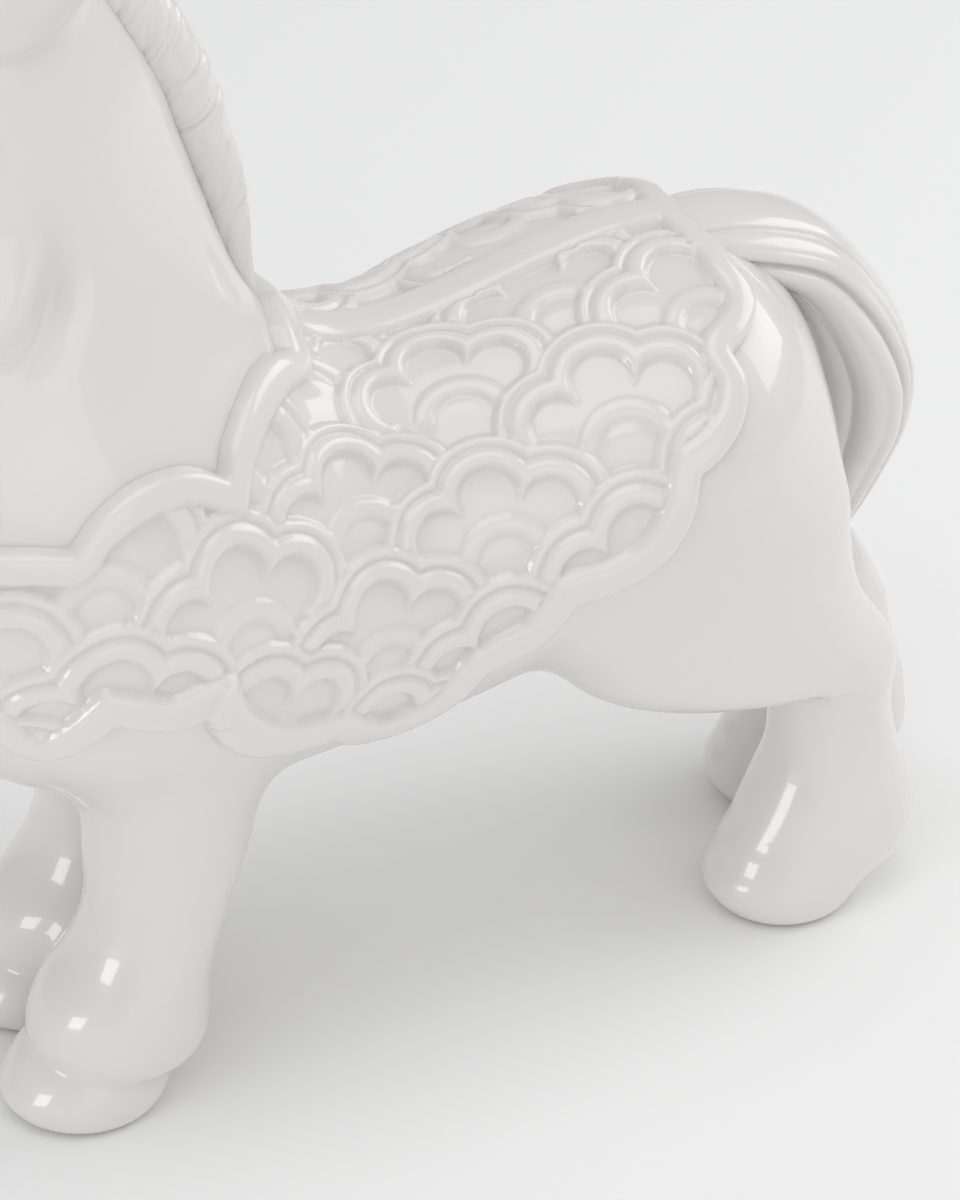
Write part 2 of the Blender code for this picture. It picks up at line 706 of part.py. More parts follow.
def mirrored_whole(item):
    """Joins the left half of a draped piece to its mirror image across the middle plane."""
    work = bmesh.new()
    work.from_mesh(item.data)
    for vert in work.verts:
        if abs(vert.co.y) < 0.00004:
            vert.co.y = 0.0
    seam = [f for f in work.faces if all(v.co.y == 0.0 for v in f.verts)]
    bmesh.ops.delete(work, geom=seam, context="FACES")
    made = bmesh.ops.duplicate(work, geom=list(work.verts) + list(work.edges) + list(work.faces))
    verts = [g for g in made["geom"] if isinstance(g, bmesh.types.BMVert)]
    for vert in verts:
        vert.co.y = -vert.co.y
    faces = [g for g in made["geom"] if isinstance(g, bmesh.types.BMFace)]
    bmesh.ops.reverse_faces(work, faces=faces)
    middle = [v for v in work.verts if v.co.y == 0.0]
    bmesh.ops.remove_doubles(work, verts=middle, dist=0.00001)
    bmesh.ops.recalc_face_normals(work, faces=work.faces)
    work.to_mesh(item.data)
    work.free()


def mirrored_copy(item, name):
    twin = copied(item, name)
    for vert in twin.data.vertices:
        vert.co.y = -vert.co.y
    twin.data.flip_normals()
    return twin


def skin_tree(items):
    points, faces = [], []
    for item in items:
        start = len(points)
        points.extend(v.co.copy() for v in item.data.vertices)
        faces.extend([start + k for k in f.vertices] for f in item.data.polygons)
    return BVHTree.FromPolygons(points, faces)


def make_cloth(skin):
    low = CLOTH_SEAT
    cloth = plate("cloth_flat", cloth_outline(0.0, SPINE_V, CHEST_U), low, low + CLOTH_THICKNESS)
    slice_flat(cloth, BEND_STEP, BEND_STEP)
    drape(cloth, skin)
    mirrored_whole(cloth)
    return cloth


def make_cloth_room(skin):
    """Space that the cloth and its trim take up, with the fit gap round it."""
    high = CLOTH_SEAT + CLOTH_THICKNESS + TRIM_SEAT + BORDER_HEIGHT + FIT_GAP
    room = plate("room_flat", cloth_outline(-FIT_GAP, SPINE_V, CHEST_U), -ROOM_DEPTH, high)
    slice_flat(room, BEND_STEP, BEND_STEP)
    drape(room, skin)
    mirrored_whole(room)
    return room


def make_border(laid):
    low = TRIM_SEAT
    outline = cloth_outline(TRIM_INSET, SPINE_V, CHEST_U)
    border = plate("border_flat", outline, low, low + BORDER_HEIGHT)
    inside = cloth_outline(BORDER_WIDTH, SPINE_V + OVERLAP, CHEST_U - OVERLAP)
    boolean(border, plate("border_inside", inside, low - OVERLAP, low + OVERLAP), "DIFFERENCE")
    edge = SPINE_V - BAND_HALF_WIDTH
    step = (BAND_END_X - BAND_START_X) / BAND_PARTS
    places = [BAND_START_X + step * k for k in range(BAND_PARTS + 1)]
    outline = [(u, edge) for u in places] + [(u, SPINE_V) for u in reversed(places)]
    boolean(border, plate("band_flat", outline, low, low + BAND_HEIGHT), "UNION")
    split_wide_faces(border)
    drape(border, laid)
    mirrored_whole(border)
    return border


def relief_field(name, inset, low, high):
    """Plate that fills the left side inside the border and below the band on the spine."""
    top = SPINE_V - BAND_HALF_WIDTH - BAND_GAP - (inset - BORDER_WIDTH)
    chest = CHEST_U + CHEST_SLIT + (inset - BORDER_WIDTH)
    field = plate(name, cloth_outline(inset, SPINE_V + OVERLAP, CHEST_U - OVERLAP), low, high)
    high_v = SPINE_V + 2 * OVERLAP
    front_u = CHEST_U - 2 * OVERLAP
    line = [(u, top) for u in range(PATTERN_END_U, int(front_u), -PATTERN_STEP)]
    above = [(PATTERN_END_U, high_v)] + line + [(line[-1][0], high_v)]
    beyond = [(chest, high_v), (front_u, high_v), (front_u, -high_v), (chest, -high_v)]
    subtract(field, [plate(name + "_above", above, low - OVERLAP, high + OVERLAP),
                     plate(name + "_beyond", beyond, low - OVERLAP, high + OVERLAP)])
    return field


def make_relief(laid):
    """Cloud scales of the left side in one openwork piece.

    The ribbons share their top plane, where the exact solver leaves open edges.
    """
    low = TRIM_SEAT
    high = low + CLOUD_HEIGHT
    relief = relief_field("relief_flat", BORDER_WIDTH, low - CLOUD_SINK, high)
    inside = relief_field("relief_inside", BORDER_WIDTH + FIT_GAP + FRAME_WIDTH,
                          low - OVERLAP, low + OVERLAP)
    subtract(relief, [inside])
    for index, (u, v) in enumerate(CLOUDS):
        base = low - CLOUD_SINK - CLOUD_STAGGER * (index + 1)
        scale = ribbon("cloud", cloud_line((u * ALONG, v), 2), CLOUD_WIDTH, base, high)
        boolean(relief, scale, "UNION", "MANIFOLD")
    field = relief_field("relief_field", BORDER_WIDTH + FIT_GAP, low, low + OVERLAP)
    boolean(relief, field, "INTERSECT", "MANIFOLD")
    keep_largest(relief)
    split_wide_faces(relief)
    drape(relief, laid)
    return relief


def centre_on_origin():
    """Puts the middle of the footprint over the origin and the soles on z = 0."""
    places = [v.co for item in COLLECTION.objects for v in item.data.vertices]
    low = [min(p[k] for p in places) for k in range(3)]
    high = [max(p[k] for p in places) for k in range(3)]
    shift = Vector((-(low[0] + high[0]) / 2, -(low[1] + high[1]) / 2, -low[2]))
    for item in COLLECTION.objects:
        for vert in item.data.vertices:
            vert.co += shift


def build():
    clear_scene()
    make_collections()
    trunk = make_trunk()
    neck = make_neck()
    head = make_head()
    legs = {}
    legs["foreleg_left"] = make_leg("fore_l", FORELEG, FOREHOOF, -1, 0.0, FORE_STEP_TOP, 17)
    legs["foreleg_right"] = make_leg("fore_r", FORELEG, FOREHOOF, 1, RIGHT_FORE_STEP,
                                      FORE_STEP_TOP, 17)
    legs["hindleg_left"] = make_leg("hind_l", HINDLEG, HINDHOOF, -1, 0.0, HIND_STEP_TOP, 23)
    legs["hindleg_right"] = make_leg("hind_r", HINDLEG, HINDHOOF, 1, RIGHT_HIND_STEP,
                                      HIND_STEP_TOP, 23)
    skin = skin_tree([trunk, neck] + list(legs.values()))

    trunk_cut = grown(trunk, FIT_GAP, "trunk_cut")
    neck_cut = grown(neck, FIT_GAP, "neck_cut")
    head_cut = grown(head, FIT_GAP, "head_cut")
    leg_cuts = [grown(leg, FIT_GAP, name + "_cut") for name, leg in legs.items()]

    belly_hole = air_hole("belly_hole", *BELLY_HOLE)
    neck_hole = air_hole("neck_hole", *NECK_HOLE)
    head_hole = air_hole("head_hole", *HEAD_HOLE)

    mane = make_mane()
    subtract(mane, [trunk_cut, neck_cut, head_cut])
    keep_largest(mane)
    mane_cut = grown(make_mane(), FIT_GAP, "mane_cut")

    tail = make_tail()
    subtract(tail, [trunk_cut, leg_cuts[2], leg_cuts[3]])
    keep_largest(tail)

    subtract(trunk, [make_trunk_cavity(), neck_hole, belly_hole])
    subtract(neck, [make_neck_cavity(), neck_hole, head_hole, trunk_cut, head_cut])
    keep_largest(neck)
    subtract(head, [make_head_cavity(), head_hole])
    ears = []
    for name, side in (("ear_left", -1), ("ear_right", 1)):
        ear = make_ear(name + "_skin", side)
        subtract(ear, [head_cut])
        keep_largest(ear)
        ears.append((name, ear))
    for leg in legs.values():
        subtract(leg, [trunk_cut])
        keep_largest(leg)

    cloth = make_cloth(skin)
    subtract(cloth, [trunk_cut, neck_cut, mane_cut] + leg_cuts)
    keep_largest(cloth)
    laid = skin_tree([cloth])
    cloth_cut = grown(cloth, FIT_GAP, "cloth_cut")
    border = make_border(laid)
    subtract(border, [cloth_cut, mane_cut])
    keep_largest(border)
    relief = make_relief(laid)
    subtract(relief, [cloth_cut])
    keep_largest(relief)
    twin = mirrored_copy(relief, "relief_right")
    subtract(tail, [make_cloth_room(skin)])
    keep_largest(tail)

    finish(trunk, "trunk_shell")
    finish(neck, "neck_shell")
    finish(head, "head_shell")
    for name, ear in ears:
        finish(ear, name)
    finish(mane, "mane")
    finish(tail, "tail")
    for name, leg in legs.items():
        finish(leg, name)
    finish(cloth, "saddle_cloth", CLOTH_ROUGHNESS)
    finish(border, "cloth_border", TRIM_ROUGHNESS)
    finish(relief, "cloud_relief_left", TRIM_ROUGHNESS)
    finish(twin, "cloud_relief_right", TRIM_ROUGHNESS)
    for item in list(CUTTERS.objects):
        item.hide_viewport = True
    centre_on_origin()


build()
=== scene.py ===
"""Looks of a glazed porcelain foal: its skin, mane, tail and saddle cloth in raised cloud scales.

Forms are sculpted in millimetres in the modeller's frame (the foal faces -X, its left side is -Y)
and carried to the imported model's frame in metres at the end.
"""

import math

import bpy
import numpy as np
import openvdb as vdb
from mathutils import Matrix, Vector
from mathutils.bvhtree import BVHTree


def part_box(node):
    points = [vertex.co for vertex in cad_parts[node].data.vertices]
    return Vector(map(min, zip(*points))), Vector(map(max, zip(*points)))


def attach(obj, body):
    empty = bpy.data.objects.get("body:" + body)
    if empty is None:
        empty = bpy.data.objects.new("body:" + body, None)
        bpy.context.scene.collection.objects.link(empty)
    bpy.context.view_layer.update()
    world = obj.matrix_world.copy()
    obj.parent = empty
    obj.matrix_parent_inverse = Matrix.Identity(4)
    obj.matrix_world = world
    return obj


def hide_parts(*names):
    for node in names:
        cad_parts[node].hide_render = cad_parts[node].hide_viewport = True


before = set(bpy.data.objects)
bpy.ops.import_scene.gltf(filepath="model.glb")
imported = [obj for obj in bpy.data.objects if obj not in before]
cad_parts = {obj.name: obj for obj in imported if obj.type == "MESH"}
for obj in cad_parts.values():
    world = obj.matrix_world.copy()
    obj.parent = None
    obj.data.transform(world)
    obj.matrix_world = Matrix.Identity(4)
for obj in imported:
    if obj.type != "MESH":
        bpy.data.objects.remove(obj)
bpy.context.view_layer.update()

MM = 0.001
MUZZLE_X = -180.5                     # tip of the muzzle in the modeller's frame
SHIFT_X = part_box("head_shell")[0].x / MM - MUZZLE_X

SKIN_STEP = 0.8     # mesh size of the skin
CLOTH_STEP = 0.5    # mesh size of the saddle cloth

# The right feet stand further back than the left ones
RIGHT_FORE_STEP = 4.0
RIGHT_HIND_STEP = 19.5
FORE_STEP_TOP = 95.0   # a leg is straight above this and carried back below it
HIND_STEP_TOP = 92.0
STEP_FADE = 45.0       # height over which a step sets in

# x, top, bottom, half width, widening towards the bottom
TRUNK = (
    (-134, 147.5, 127.5, 3, 0), (-131, 157.5, 113.5, 20, 0),
    (-122, 167.5, 93.5, 36, 0), (-108, 174.5, 79.5, 43, 0.02),
    (-90, 173.5, 71.5, 46, 0.04), (-70, 168.5, 67.5, 46.5, 0.05),
    (-50, 162, 66.5, 45.5, 0.06), (-36, 156.5, 67.5, 44, 0.07),
    (-22, 153.5, 68.5, 44, 0.06), (-8, 154, 71.5, 45, 0.04),
    (7, 156.5, 75.5, 46, 0.02), (22, 159, 79.5, 46, 0),
    (36, 160.5, 84.5, 45, -0.02), (50, 159.5, 90.5, 42, -0.03),
    (61, 154, 96.5, 36, 0), (70, 145, 103.5, 26, 0),
    (76, 133.5, 112.5, 12, 0), (78, 125.5, 119.5, 3, 0),
)
# x, degrees below the side, swelling, reach along x, reach in degrees
SWELLINGS = ((44, 4, 5.0, 24, 34), (-84, 5, 4.0, 26, 45))
SWELLING_HALF = 30.0   # a swelling fades where the trunk's half width is below this

# Neck, legs and hooves: z, front, back, centre from the middle plane, half width, widening
# towards the back
NECK = (
    (115.5, -118, -50, 0, 28, 0), (140.5, -129, -45, 0, 36, 0),
    (157.5, -134, -44, 0, 38, -0.05), (172.5, -132, -47.5, 0, 33, -0.1),
    (189.5, -127, -53, 0, 28, -0.15), (205.5, -123, -58, 0, 25, -0.2),
    (221.5, -120, -63, 0, 22.5, -0.2), (239.5, -117, -72, 0, 20, -0.2),
    (253.5, -115, -80, 0, 18, -0.1), (263.5, -112, -88, 0, 12, 0),
)
FORELEG = (
    (123, -102, -58, 24, 15, 0), (105, -99, -56, 22, 17, 0), (88, -94, -53.5, 20, 17.4, 0),
    (72, -90.5, -53.5, 19, 16.8, 0), (57, -90, -56, 18, 15.6, 0), (46, -90.2, -60, 18, 15, 0),
    (36, -94, -63.8, 18, 15.8, 0), (27, -101, -65.5, 18, 16.8, 0), (20, -103.6, -66, 18, 17.4, 0),
    (15, -103.4, -66.5, 18, 17, 0), (12, -100.5, -68.5, 18, 15.4, 0), (9.5, -93, -74, 18, 10, 0),
)
FOREHOOF = (
    (16, -100, -85, 18, 7, 0), (14.5, -104.5, -80, 18, 12.5, 0), (11, -107.8, -76.5, 18, 15.2, 0),
    (6, -110.4, -74.8, 18, 16, 0), (1.8, -108.5, -76.5, 18, 14.8, 0), (0, -105.5, -79, 18, 12.8, 0),
)
HINDLEG = (
    (136, 24, 57, 22, 12, 0), (124, 12, 68, 24, 16, 0), (108, 4.5, 75, 25, 19.5, 0),
    (92, 3.5, 76.5, 25, 20.5, 0), (80, 9, 80, 24.5, 19, 0), (70, 18, 86.4, 23.5, 17, 0),
    (64, 30, 90, 22, 15.6, 0), (61.5, 46, 91, 20.8, 14.8, 0), (59, 58, 91.4, 20, 14.1, 0),
    (56, 64, 91.6, 19.3, 13.4, 0), (52, 65.2, 91.6, 18.6, 12.8, 0), (46, 65.5, 91.8, 18, 12.5, 0),
    (37, 65, 93.5, 18, 13.6, 0), (28, 61.5, 96.8, 18, 15.6, 0), (19, 57.2, 98.7, 18, 16.4, 0),
    (14, 55.8, 98, 18, 16.2, 0), (10, 60, 95, 18, 14.6, 0), (7, 67, 90.5, 18, 11, 0),
)
HINDHOOF = (
    (15.5, 60, 80, 18, 7, 0), (14, 56, 83.5, 18, 12.5, 0), (10.5, 52.2, 85.6, 18, 15.4, 0),
    (6, 51.2, 86, 18, 15.8, 0), (1.8, 53.5, 84, 18, 14.6, 0), (0, 56, 81.5, 18, 12.6, 0),
)
# x, top, bottom, half width, widening towards the bottom
HEAD = (
    (-78, 267.5, 259.5, 4, 0), (-80.5, 277.5, 248.5, 14, 0),
    (-90, 289.5, 240, 20.5, 0.06), (-104, 295, 238, 22.5, 0.06),
    (-118, 292, 238.5, 22, 0.0), (-130, 284, 239, 18.6, -0.05),
    (-142, 274, 238.5, 15.4, -0.05), (-153, 267, 236.5, 13.6, 0),
    (-163, 264, 234.5, 13.4, 0), (-171, 261.5, 234, 13, 0),
    (-177, 256.5, 236, 10.3, 0), (-180.5, 250, 241.5, 4.5, 0),
)
# Shares of a round and of a square section in the head
HEAD_ROUND = 0.93
HEAD_SQUARE = 0.07
# Left ear: x, distance from the middle plane, z, half width across, half depth
EAR = (
    (-97, 14, 280, 7.4, 6), (-95, 16, 288, 8.2, 5.6), (-93.5, 17.6, 296, 7.6, 4.8),
    (-93, 19, 304, 5.6, 3.8), (-93.6, 20, 310, 3.2, 2.6), (-94.4, 20.6, 313.6, 1.2, 1.2),
)
# The ear's hollow front: how far it lies forward, outward and up, and its shares of the ear's size
SCOOP_FORWARD = 4.6
SCOOP_OUTWARD = 0.8
SCOOP_UP = 1.5
SCOOP_ACROSS = 0.62
SCOOP_DEEP = 0.9
# Tail and mane: x, y, z, half width across, half depth
TAIL = (
    (42, 1, 152.5, 9, 6), (54, 2, 154, 13, 7), (67, 3, 150.5, 15.5, 8),
    (79, 4, 143.5, 16.5, 9), (89, 5, 130, 17, 10), (95, 5, 115.5, 16.5, 10.5),
    (95.5, 5, 104.5, 15.5, 10.3), (93.5, 5, 95.5, 13.5, 9.5), (90, 4, 86.5, 10.5, 8),
    (87, 4, 77.5, 7, 6), (84, 3, 69.5, 3, 3),
)
# Furrows of the tail: share of the way from its outer side to the body at four stages along the
# tail, then depth at each stage, then width
TAIL_STAGES = (0.0, 0.28, 0.55, 1.0)
TAIL_FURROWS = (
    ((0.24, 0.21, 0.19, 0.15), (0.10, 0.12, 0.12, 0.10), 0.034),
    ((0.57, 0.47, 0.37, 0.34), (0.13, 0.18, 0.20, 0.18), 0.040),
    ((0.76, 0.76, 0.76, 0.70), (0.00, 0.05, 0.12, 0.12), 0.050),
    ((0.14, 0.10, 0.07, 0.05), (0.00, 0.00, 0.07, 0.08), 0.020),
    ((0.17, 0.16, 0.14, 0.10), (0.00, 0.01, 0.09, 0.08), 0.022),
    ((0.40, 0.35, 0.28, 0.24), (0.00, 0.02, 0.09, 0.10), 0.024),
    ((0.00, 0.00, 0.00, 0.00), (0.00, 0.00, 0.05, 0.06), 0.018),
    ((0.66, 0.62, 0.54, 0.52), (0.00, 0.00, 0.03, 0.07), 0.040),
)
TAIL_FURROW_POWER = 1.3
TAIL_SMOOTH = 0.08     # the furrows set in over this share of the tail
MANE = (
    (-44.3, 0, 165.5, 1.8, 1.8), (-46.8, 0, 176.5, 3, 3.3), (-49.3, 0, 190, 4.2, 5),
    (-53, 0, 203, 5.2, 6), (-56.3, 0, 212.5, 5.9, 6.6), (-60.7, 0, 223, 6.4, 7.1),
    (-66, 0, 231.5, 6.8, 7.4), (-74, 0, 244.5, 7, 8), (-82, 0, 260, 7, 8.5),
    (-87, 0, 276, 7, 9), (-93, 0, 290, 6.5, 9), (-103, 0, 299, 6, 7.5),
    (-114, 0, 300.5, 5.5, 5.5), (-124, 0, 295.5, 4, 4), (-131, 0, 289, 2, 2.5),
)
# Locks of the mane: number of them, lean towards the crest, sharpness of the furrows, height
LOCKS = (13.0, 0.75, 0.55, 0.11)
FINE_LOCKS = (44.0, 2.6, 0.9, 0.045)
LOCK_MIDDLE = 0.6      # height of a lock that leaves the mane's section as it is
MANE_START = 0.12      # the locks fade over these shares of the mane at its ends
MANE_END = 0.1

# Clay: corners of its box, least reach of a form, and the rounds that even out its surface
CLAY_LOW = (-190, -62, -6)
CLAY_HIGH = (112, 62, 322)
LEAST_REACH = 3.0
RELAX_ROUNDS = 5
RELAX_STRENGTH = 0.5
RELAX_RETURN = 1.04    # share of each move that is taken back, against shrinking

# Draping of the saddle cloth: the flat pattern is wound round an axis inside the trunk
AXIS_Z = 117.0
AXIS_FRONT_X = -95.0   # in front of this the pattern turns round the chest
DRAPE_RADIUS = 46.0
CHEST_RADIUS = 42.0
SPINE_V = DRAPE_RADIUS * math.pi / 2
CHEST_U = AXIS_FRONT_X - CHEST_RADIUS * math.pi / 2

# Lobes of the cloth's edge in the flat pattern (u along the body, v up from the winding axis)
EDGE_LOBES = (
    ((-42, SPINE_V), (-44.5, 64), (-45.9, 55.8)),
    ((-45.9, 55.8), (-51.1, 53), (-57.1, 48.5), (-63, 42.5), (-66.2, 38.5), (-67.9, 34.5)),
    ((-67.9, 34.5), (-72.8, 36.2), (-78.4, 36.8), (-87.2, 35.6), (-95.2, 32.6), (-100.1, 28.6)),
    ((-100.1, 28.6), (-108, 29.6), (-117, 29.6), (-124, 27), (-128.5, 22.5)),
    ((-128.5, 22.5), (-138, 26), (-150, 28), (CHEST_U, 28.5)),
)
EDGE_LOBES_LOW = (
    ((CHEST_U, -16.5), (-152, -15.5), (-144, -13), (-138.5, -8.5)),
    ((-138.5, -8.5), (-134, -14), (-127, -15.5), (-121, -12.5), (-117, -7)),
    ((-117, -7), (-113.5, -12), (-108, -15.2), (-102.6, -14.1), (-98, -10.2), (-94.2, -5.7)),
    ((-94.2, -5.7), (-91, -6.9), (-86.8, -8.2), (-82.3, -8.7), (-77.2, -8.1)),
    ((-77.2, -8.1), (-75.3, -12.7), (-72.1, -17.6), (-68.3, -21.2), (-62.5, -24.6), (-55.7, -26.4),
     (-48.3, -27)),
    ((-48.3, -27), (-44.5, -30.4), (-40, -33), (-34, -34.2), (-28, -33.2), (-22, -30),
     (-17.5, -25.8), (-14.1, -20.7)),
    ((-14.1, -20.7), (-10.2, -19.2), (-6.4, -18), (-2.9, -16.4), (-0.2, -13.6), (3.8, -8)),
    ((3.8, -8), (10, -7.2), (17, -4.8), (23.1, -0.6), (27.8, 6), (30.5, 13.5)),
    ((30.5, 13.5), (34.5, 15.4), (39, 18.8), (42.2, 22.8), (44.2, 28), (43.2, 34)),
    ((43.2, 34), (48, 36.8), (52, 41.6), (53.4, 47), (52.6, 53)),
    ((52.6, 53), (52.4, 58), (51.2, 64), (49.8, SPINE_V)),
)
OUTLINE_MARGIN = 9.0   # the outline is shut this far past the chest and the spine
PATTERN_LOW = -41.0    # lower and rear limits of the flat pattern
PATTERN_REAR = 58.0

# Heights are over the skin, those of border, band and scales over the cloth's floor
FLOOR_HEIGHT = 0.8
UNDERSIDE = 1.2        # the cloth's underside lies this deep in the skin
EDGE_START = 0.12      # the edge is dropped from this far inside the outline
EDGE_WIDTH = 0.7       # width of the drop outside the outline
EDGE_DROP = 1.4        # its depth in the skin
EDGE_KEPT = 1.3        # the mesh reaches this far past the outline
HEIGHT_BLUR = 0.32     # blur of the heights, in millimetres
BASE_BLUR = 1.6        # blur of the skin that the cloth lies on
BORDER_WIDTHS = (6, 6.3, 5.6, 5.6, 5.6)      # of the lobes in EDGE_LOBES
BORDER_WIDTHS_LOW = (7, 7, 7.5, 7.8, 9.2, 8, 8.8, 7.4, 6.6, 6.6, 6.4)
WIDTH_PLACES = (0, 0.35, 0.65, 1)            # a lobe has its own width between the middle two
BORDER_HEIGHT = 2.7
BORDER_POWER = 3.6     # powers of a ribbon's section: 2 is round, higher is flatter
BAND_HALF_WIDTH = 5.6
BAND_SKEW = 0.11       # the band on the spine runs this much across per millimetre along
BAND_SKEW_FROM = 6.0
BAND_SKEW_MOST = 2.4
BAND_HEIGHT = 2.5
BAND_POWER = 3.5
# Crease where the border of the low lobe on the shoulder runs over the one in front
FOLD_U = (-77.4, -75.3, -70.8)
FOLD_V = (-6.9, -2.2, 1.5)
FOLD_LIFT = 1.2
FOLD_REACH = 5.0
FOLD_BELOW = 3.0
FOLD_ABOVE = 1.0
# The cloth lies a little fuller over the right flank: place in the pattern, reach and height
FULL_PLACE = (5.0, 54.0)
FULL_REACH = (30.0, 11.0)
FULL_HEIGHT = 2.2

# Cloud scales in the flat pattern, by the top of their openings, each row laid over the one before
CLOUDS = (
    (-43, 88), (-15, 75), (13.5, 72), (40, 60),
    (-69.5, 82), (-41.5, 69), (-13.1, 56.4), (16.1, 41.5), (44.5, 27),
    (-97, 60), (-69, 47.5), (-40.2, 34.7), (-11.9, 24), (16.1, 10.5), (44, -4),
    (-155, 44), (-125.5, 49), (-97, 36), (-68.6, 22.4), (-38.1, 6.5), (-11, -5.5), (17, -20),
    (-152, 16), (-123, 21.5), (-94.5, 8), (-65.5, -3.8), (-36, -19.5), (-8, -32),
    (-150, -9), (-121, -5), (-92.5, -19), (-64, -33),
)
CLOUD_TILT = 3.0       # degrees, rear side up
# Centre and radius of the three bays of a cloud's opening
CLOUD_BAYS = ((0, -6.2, 6.2), (-11, -11.9, 5.6), (11.2, -11.1, 5.7))
CLOUD_HALF_WIDTH = 13.0
CLOUD_FOOT = 8.7       # the opening's sides run on below this depth under its top
RIBBON_WIDTH = 4.3
RIBBON_HEIGHT = 2.1
RIBBON_POWER = 2.6
ECHO_WIDTH = 2.4       # thin outer ribbon beyond a furrow
ECHO_HEIGHT = 1.7
ECHO_POWER = 2.2
FURROW_WIDTH = 0.35
FURROW_HEIGHT = 0.75
FAN_CENTRE = (0.7, -20.6)
FAN_RADIUS = 10.4
FAN_WIDTH = 4.3
FAN_HEIGHT = 0.95
FAN_POWER = 2.2
FAN_BELOW = 1.0        # the fan fades out below its centre, over this much more height
FAN_FADE = 3.5
DISC_RADIUS = 5.0      # low round boss inside the fan's arc
DISC_HEIGHT = 0.5
DISC_POWER = 2.5
# A scale's ribbons sink towards its lower end: where that begins, share per millimetre, least share
SINK_FROM = 5.0
SINK_RATE = 0.035
SINK_LEAST = 0.4
# No scale goes further than this beside its top, above it, and both together below it
CLOUD_REACH = 30.0
CLOUD_ABOVE = 10.0

# Rays that find the skin under the cloth: start from the axis, depth taken where one misses
RAY_START = 75.0
RAY_MISS = 30.0
SPINE_GAP = 0.02       # the last row stays this far off the spine

# Camera, in the modeller's frame, in degrees and millimetres
CAMERA_AZIMUTH = -26.0
CAMERA_ELEVATION = 33.0
CAMERA_DISTANCE = 1100.0
CAMERA_TARGET = (-4.2, -20.0, 96.2)
CAMERA_LENS = 165.0
CAMERA_SENSOR = 36.0

# Lamps: name, azimuth, elevation, distance, width, height, radiance, roll; metres and degrees
LAMPS = (
    ("front_box", -166, 9, 1.3, 0.40, 0.30, 4.2, 0.0),
    ("side_fill", -92, 20, 1.5, 1.2, 1.0, 0.55, 0.0),
    ("rear_box", 1, 33, 1.3, 0.95, 0.60, 1.6, -28.0),
    ("top_box", -100, 78, 1.5, 1.2, 1.2, 1.0, 0.0),
)
LAMP_TARGET = (10, 0, 60)   # in the modeller's frame
STUDIO_LIGHT = 0.58
STUDIO_COLOUR = (0.86, 0.865, 0.865)
FLOOR_COLOUR = (0.97, 0.975, 0.975)
FLOOR_HALF = 3.0       # metres
FLOOR_DROP = 0.0002    # metres below the soles

GLAZE = (0.80, 0.775, 0.765)
FAR = 60.0             # distance given to places beyond a form's reach


# Curves and lofts

def smooth_rows(rows, count):
    """Smooth curve through rows of numbers, sampled evenly."""
    p = np.array(rows, float)
    p = np.vstack([2 * p[0] - p[1], p, 2 * p[-1] - p[-2]])
    t = np.linspace(0, len(rows) - 1, count)
    i = np.minimum(t.astype(int), len(rows) - 2)
    f = (t - i)[:, None]
    a, b, c, d = p[i], p[i + 1], p[i + 2], p[i + 3]
    return 0.5 * (2 * b + (c - a) * f + (2 * a - 5 * b + 4 * c - d) * f ** 2
                  + (3 * b - a - 3 * c + d) * f ** 3)


def closed_form(rings):
    """Points and triangles of a body through rings, shut at both ends."""
    m, n = rings.shape[:2]
    i, j = np.meshgrid(np.arange(m - 1), np.arange(n), indexing="ij")
    a, b = i * n + j, i * n + (j + 1) % n
    c, d = a + n, b + n
    sides = np.concatenate([np.stack([a, b, d], -1), np.stack([a, d, c], -1)]).reshape(-1, 3)
    points = np.vstack([rings.reshape(-1, 3), rings[0].mean(0), rings[-1].mean(0)])
    k = np.arange(n)
    first = np.stack([np.full(n, m * n), (k + 1) % n, k], -1)
    last = np.stack([np.full(n, m * n + 1), (m - 1) * n + k, (m - 1) * n + (k + 1) % n], -1)
    return points, np.vstack([sides, first, last])


def turn(n):
    """Cosines and sines of n even steps round a circle."""
    angle = np.linspace(0, 2 * math.pi, n, endpoint=False)
    return np.cos(angle), np.sin(angle)


def trunk_form():
    sides = 160
    c, s = turn(sides)
    below = -np.degrees(np.arctan2(s, np.abs(c)))
    rings = []
    for x, top, bottom, half, egg in smooth_rows(TRUNK, 240):
        high = (top - bottom) / 2
        swell = sum(amount * math.exp(-((x - at) / reach) ** 2) * np.exp(-((below - angle) / spread) ** 2)
                    for at, angle, amount, reach, spread in SWELLINGS) * min(1, half / SWELLING_HALF)
        nx, nz = c / half, s / high
        size = np.hypot(nx, nz)
        rings.append(np.stack([np.full(sides, x), half * (1 - egg * s) * c + swell * nx / size,
                               (top + bottom) / 2 + high * s + swell * nz / size], -1))
    return closed_form(np.array(rings))


def upright_form(rows, side=1, step=0.0, step_top=0.0):
    """Body from level rings; a step carries its lower rows along x."""
    sides = 96
    c, s = turn(sides)
    rings = []
    for z, front, back, centre, half, egg in smooth_rows(rows, 160):
        share = max(0.0, min(1.0, (step_top - z) / STEP_FADE)) if step else 0.0
        x = (front + back) / 2 + step * share + (back - front) / 2 * c
        y = side * centre + half * (1 + egg * c) * s
        rings.append(np.stack([x, y, np.full(sides, z)], -1))
    return closed_form(np.array(rings))


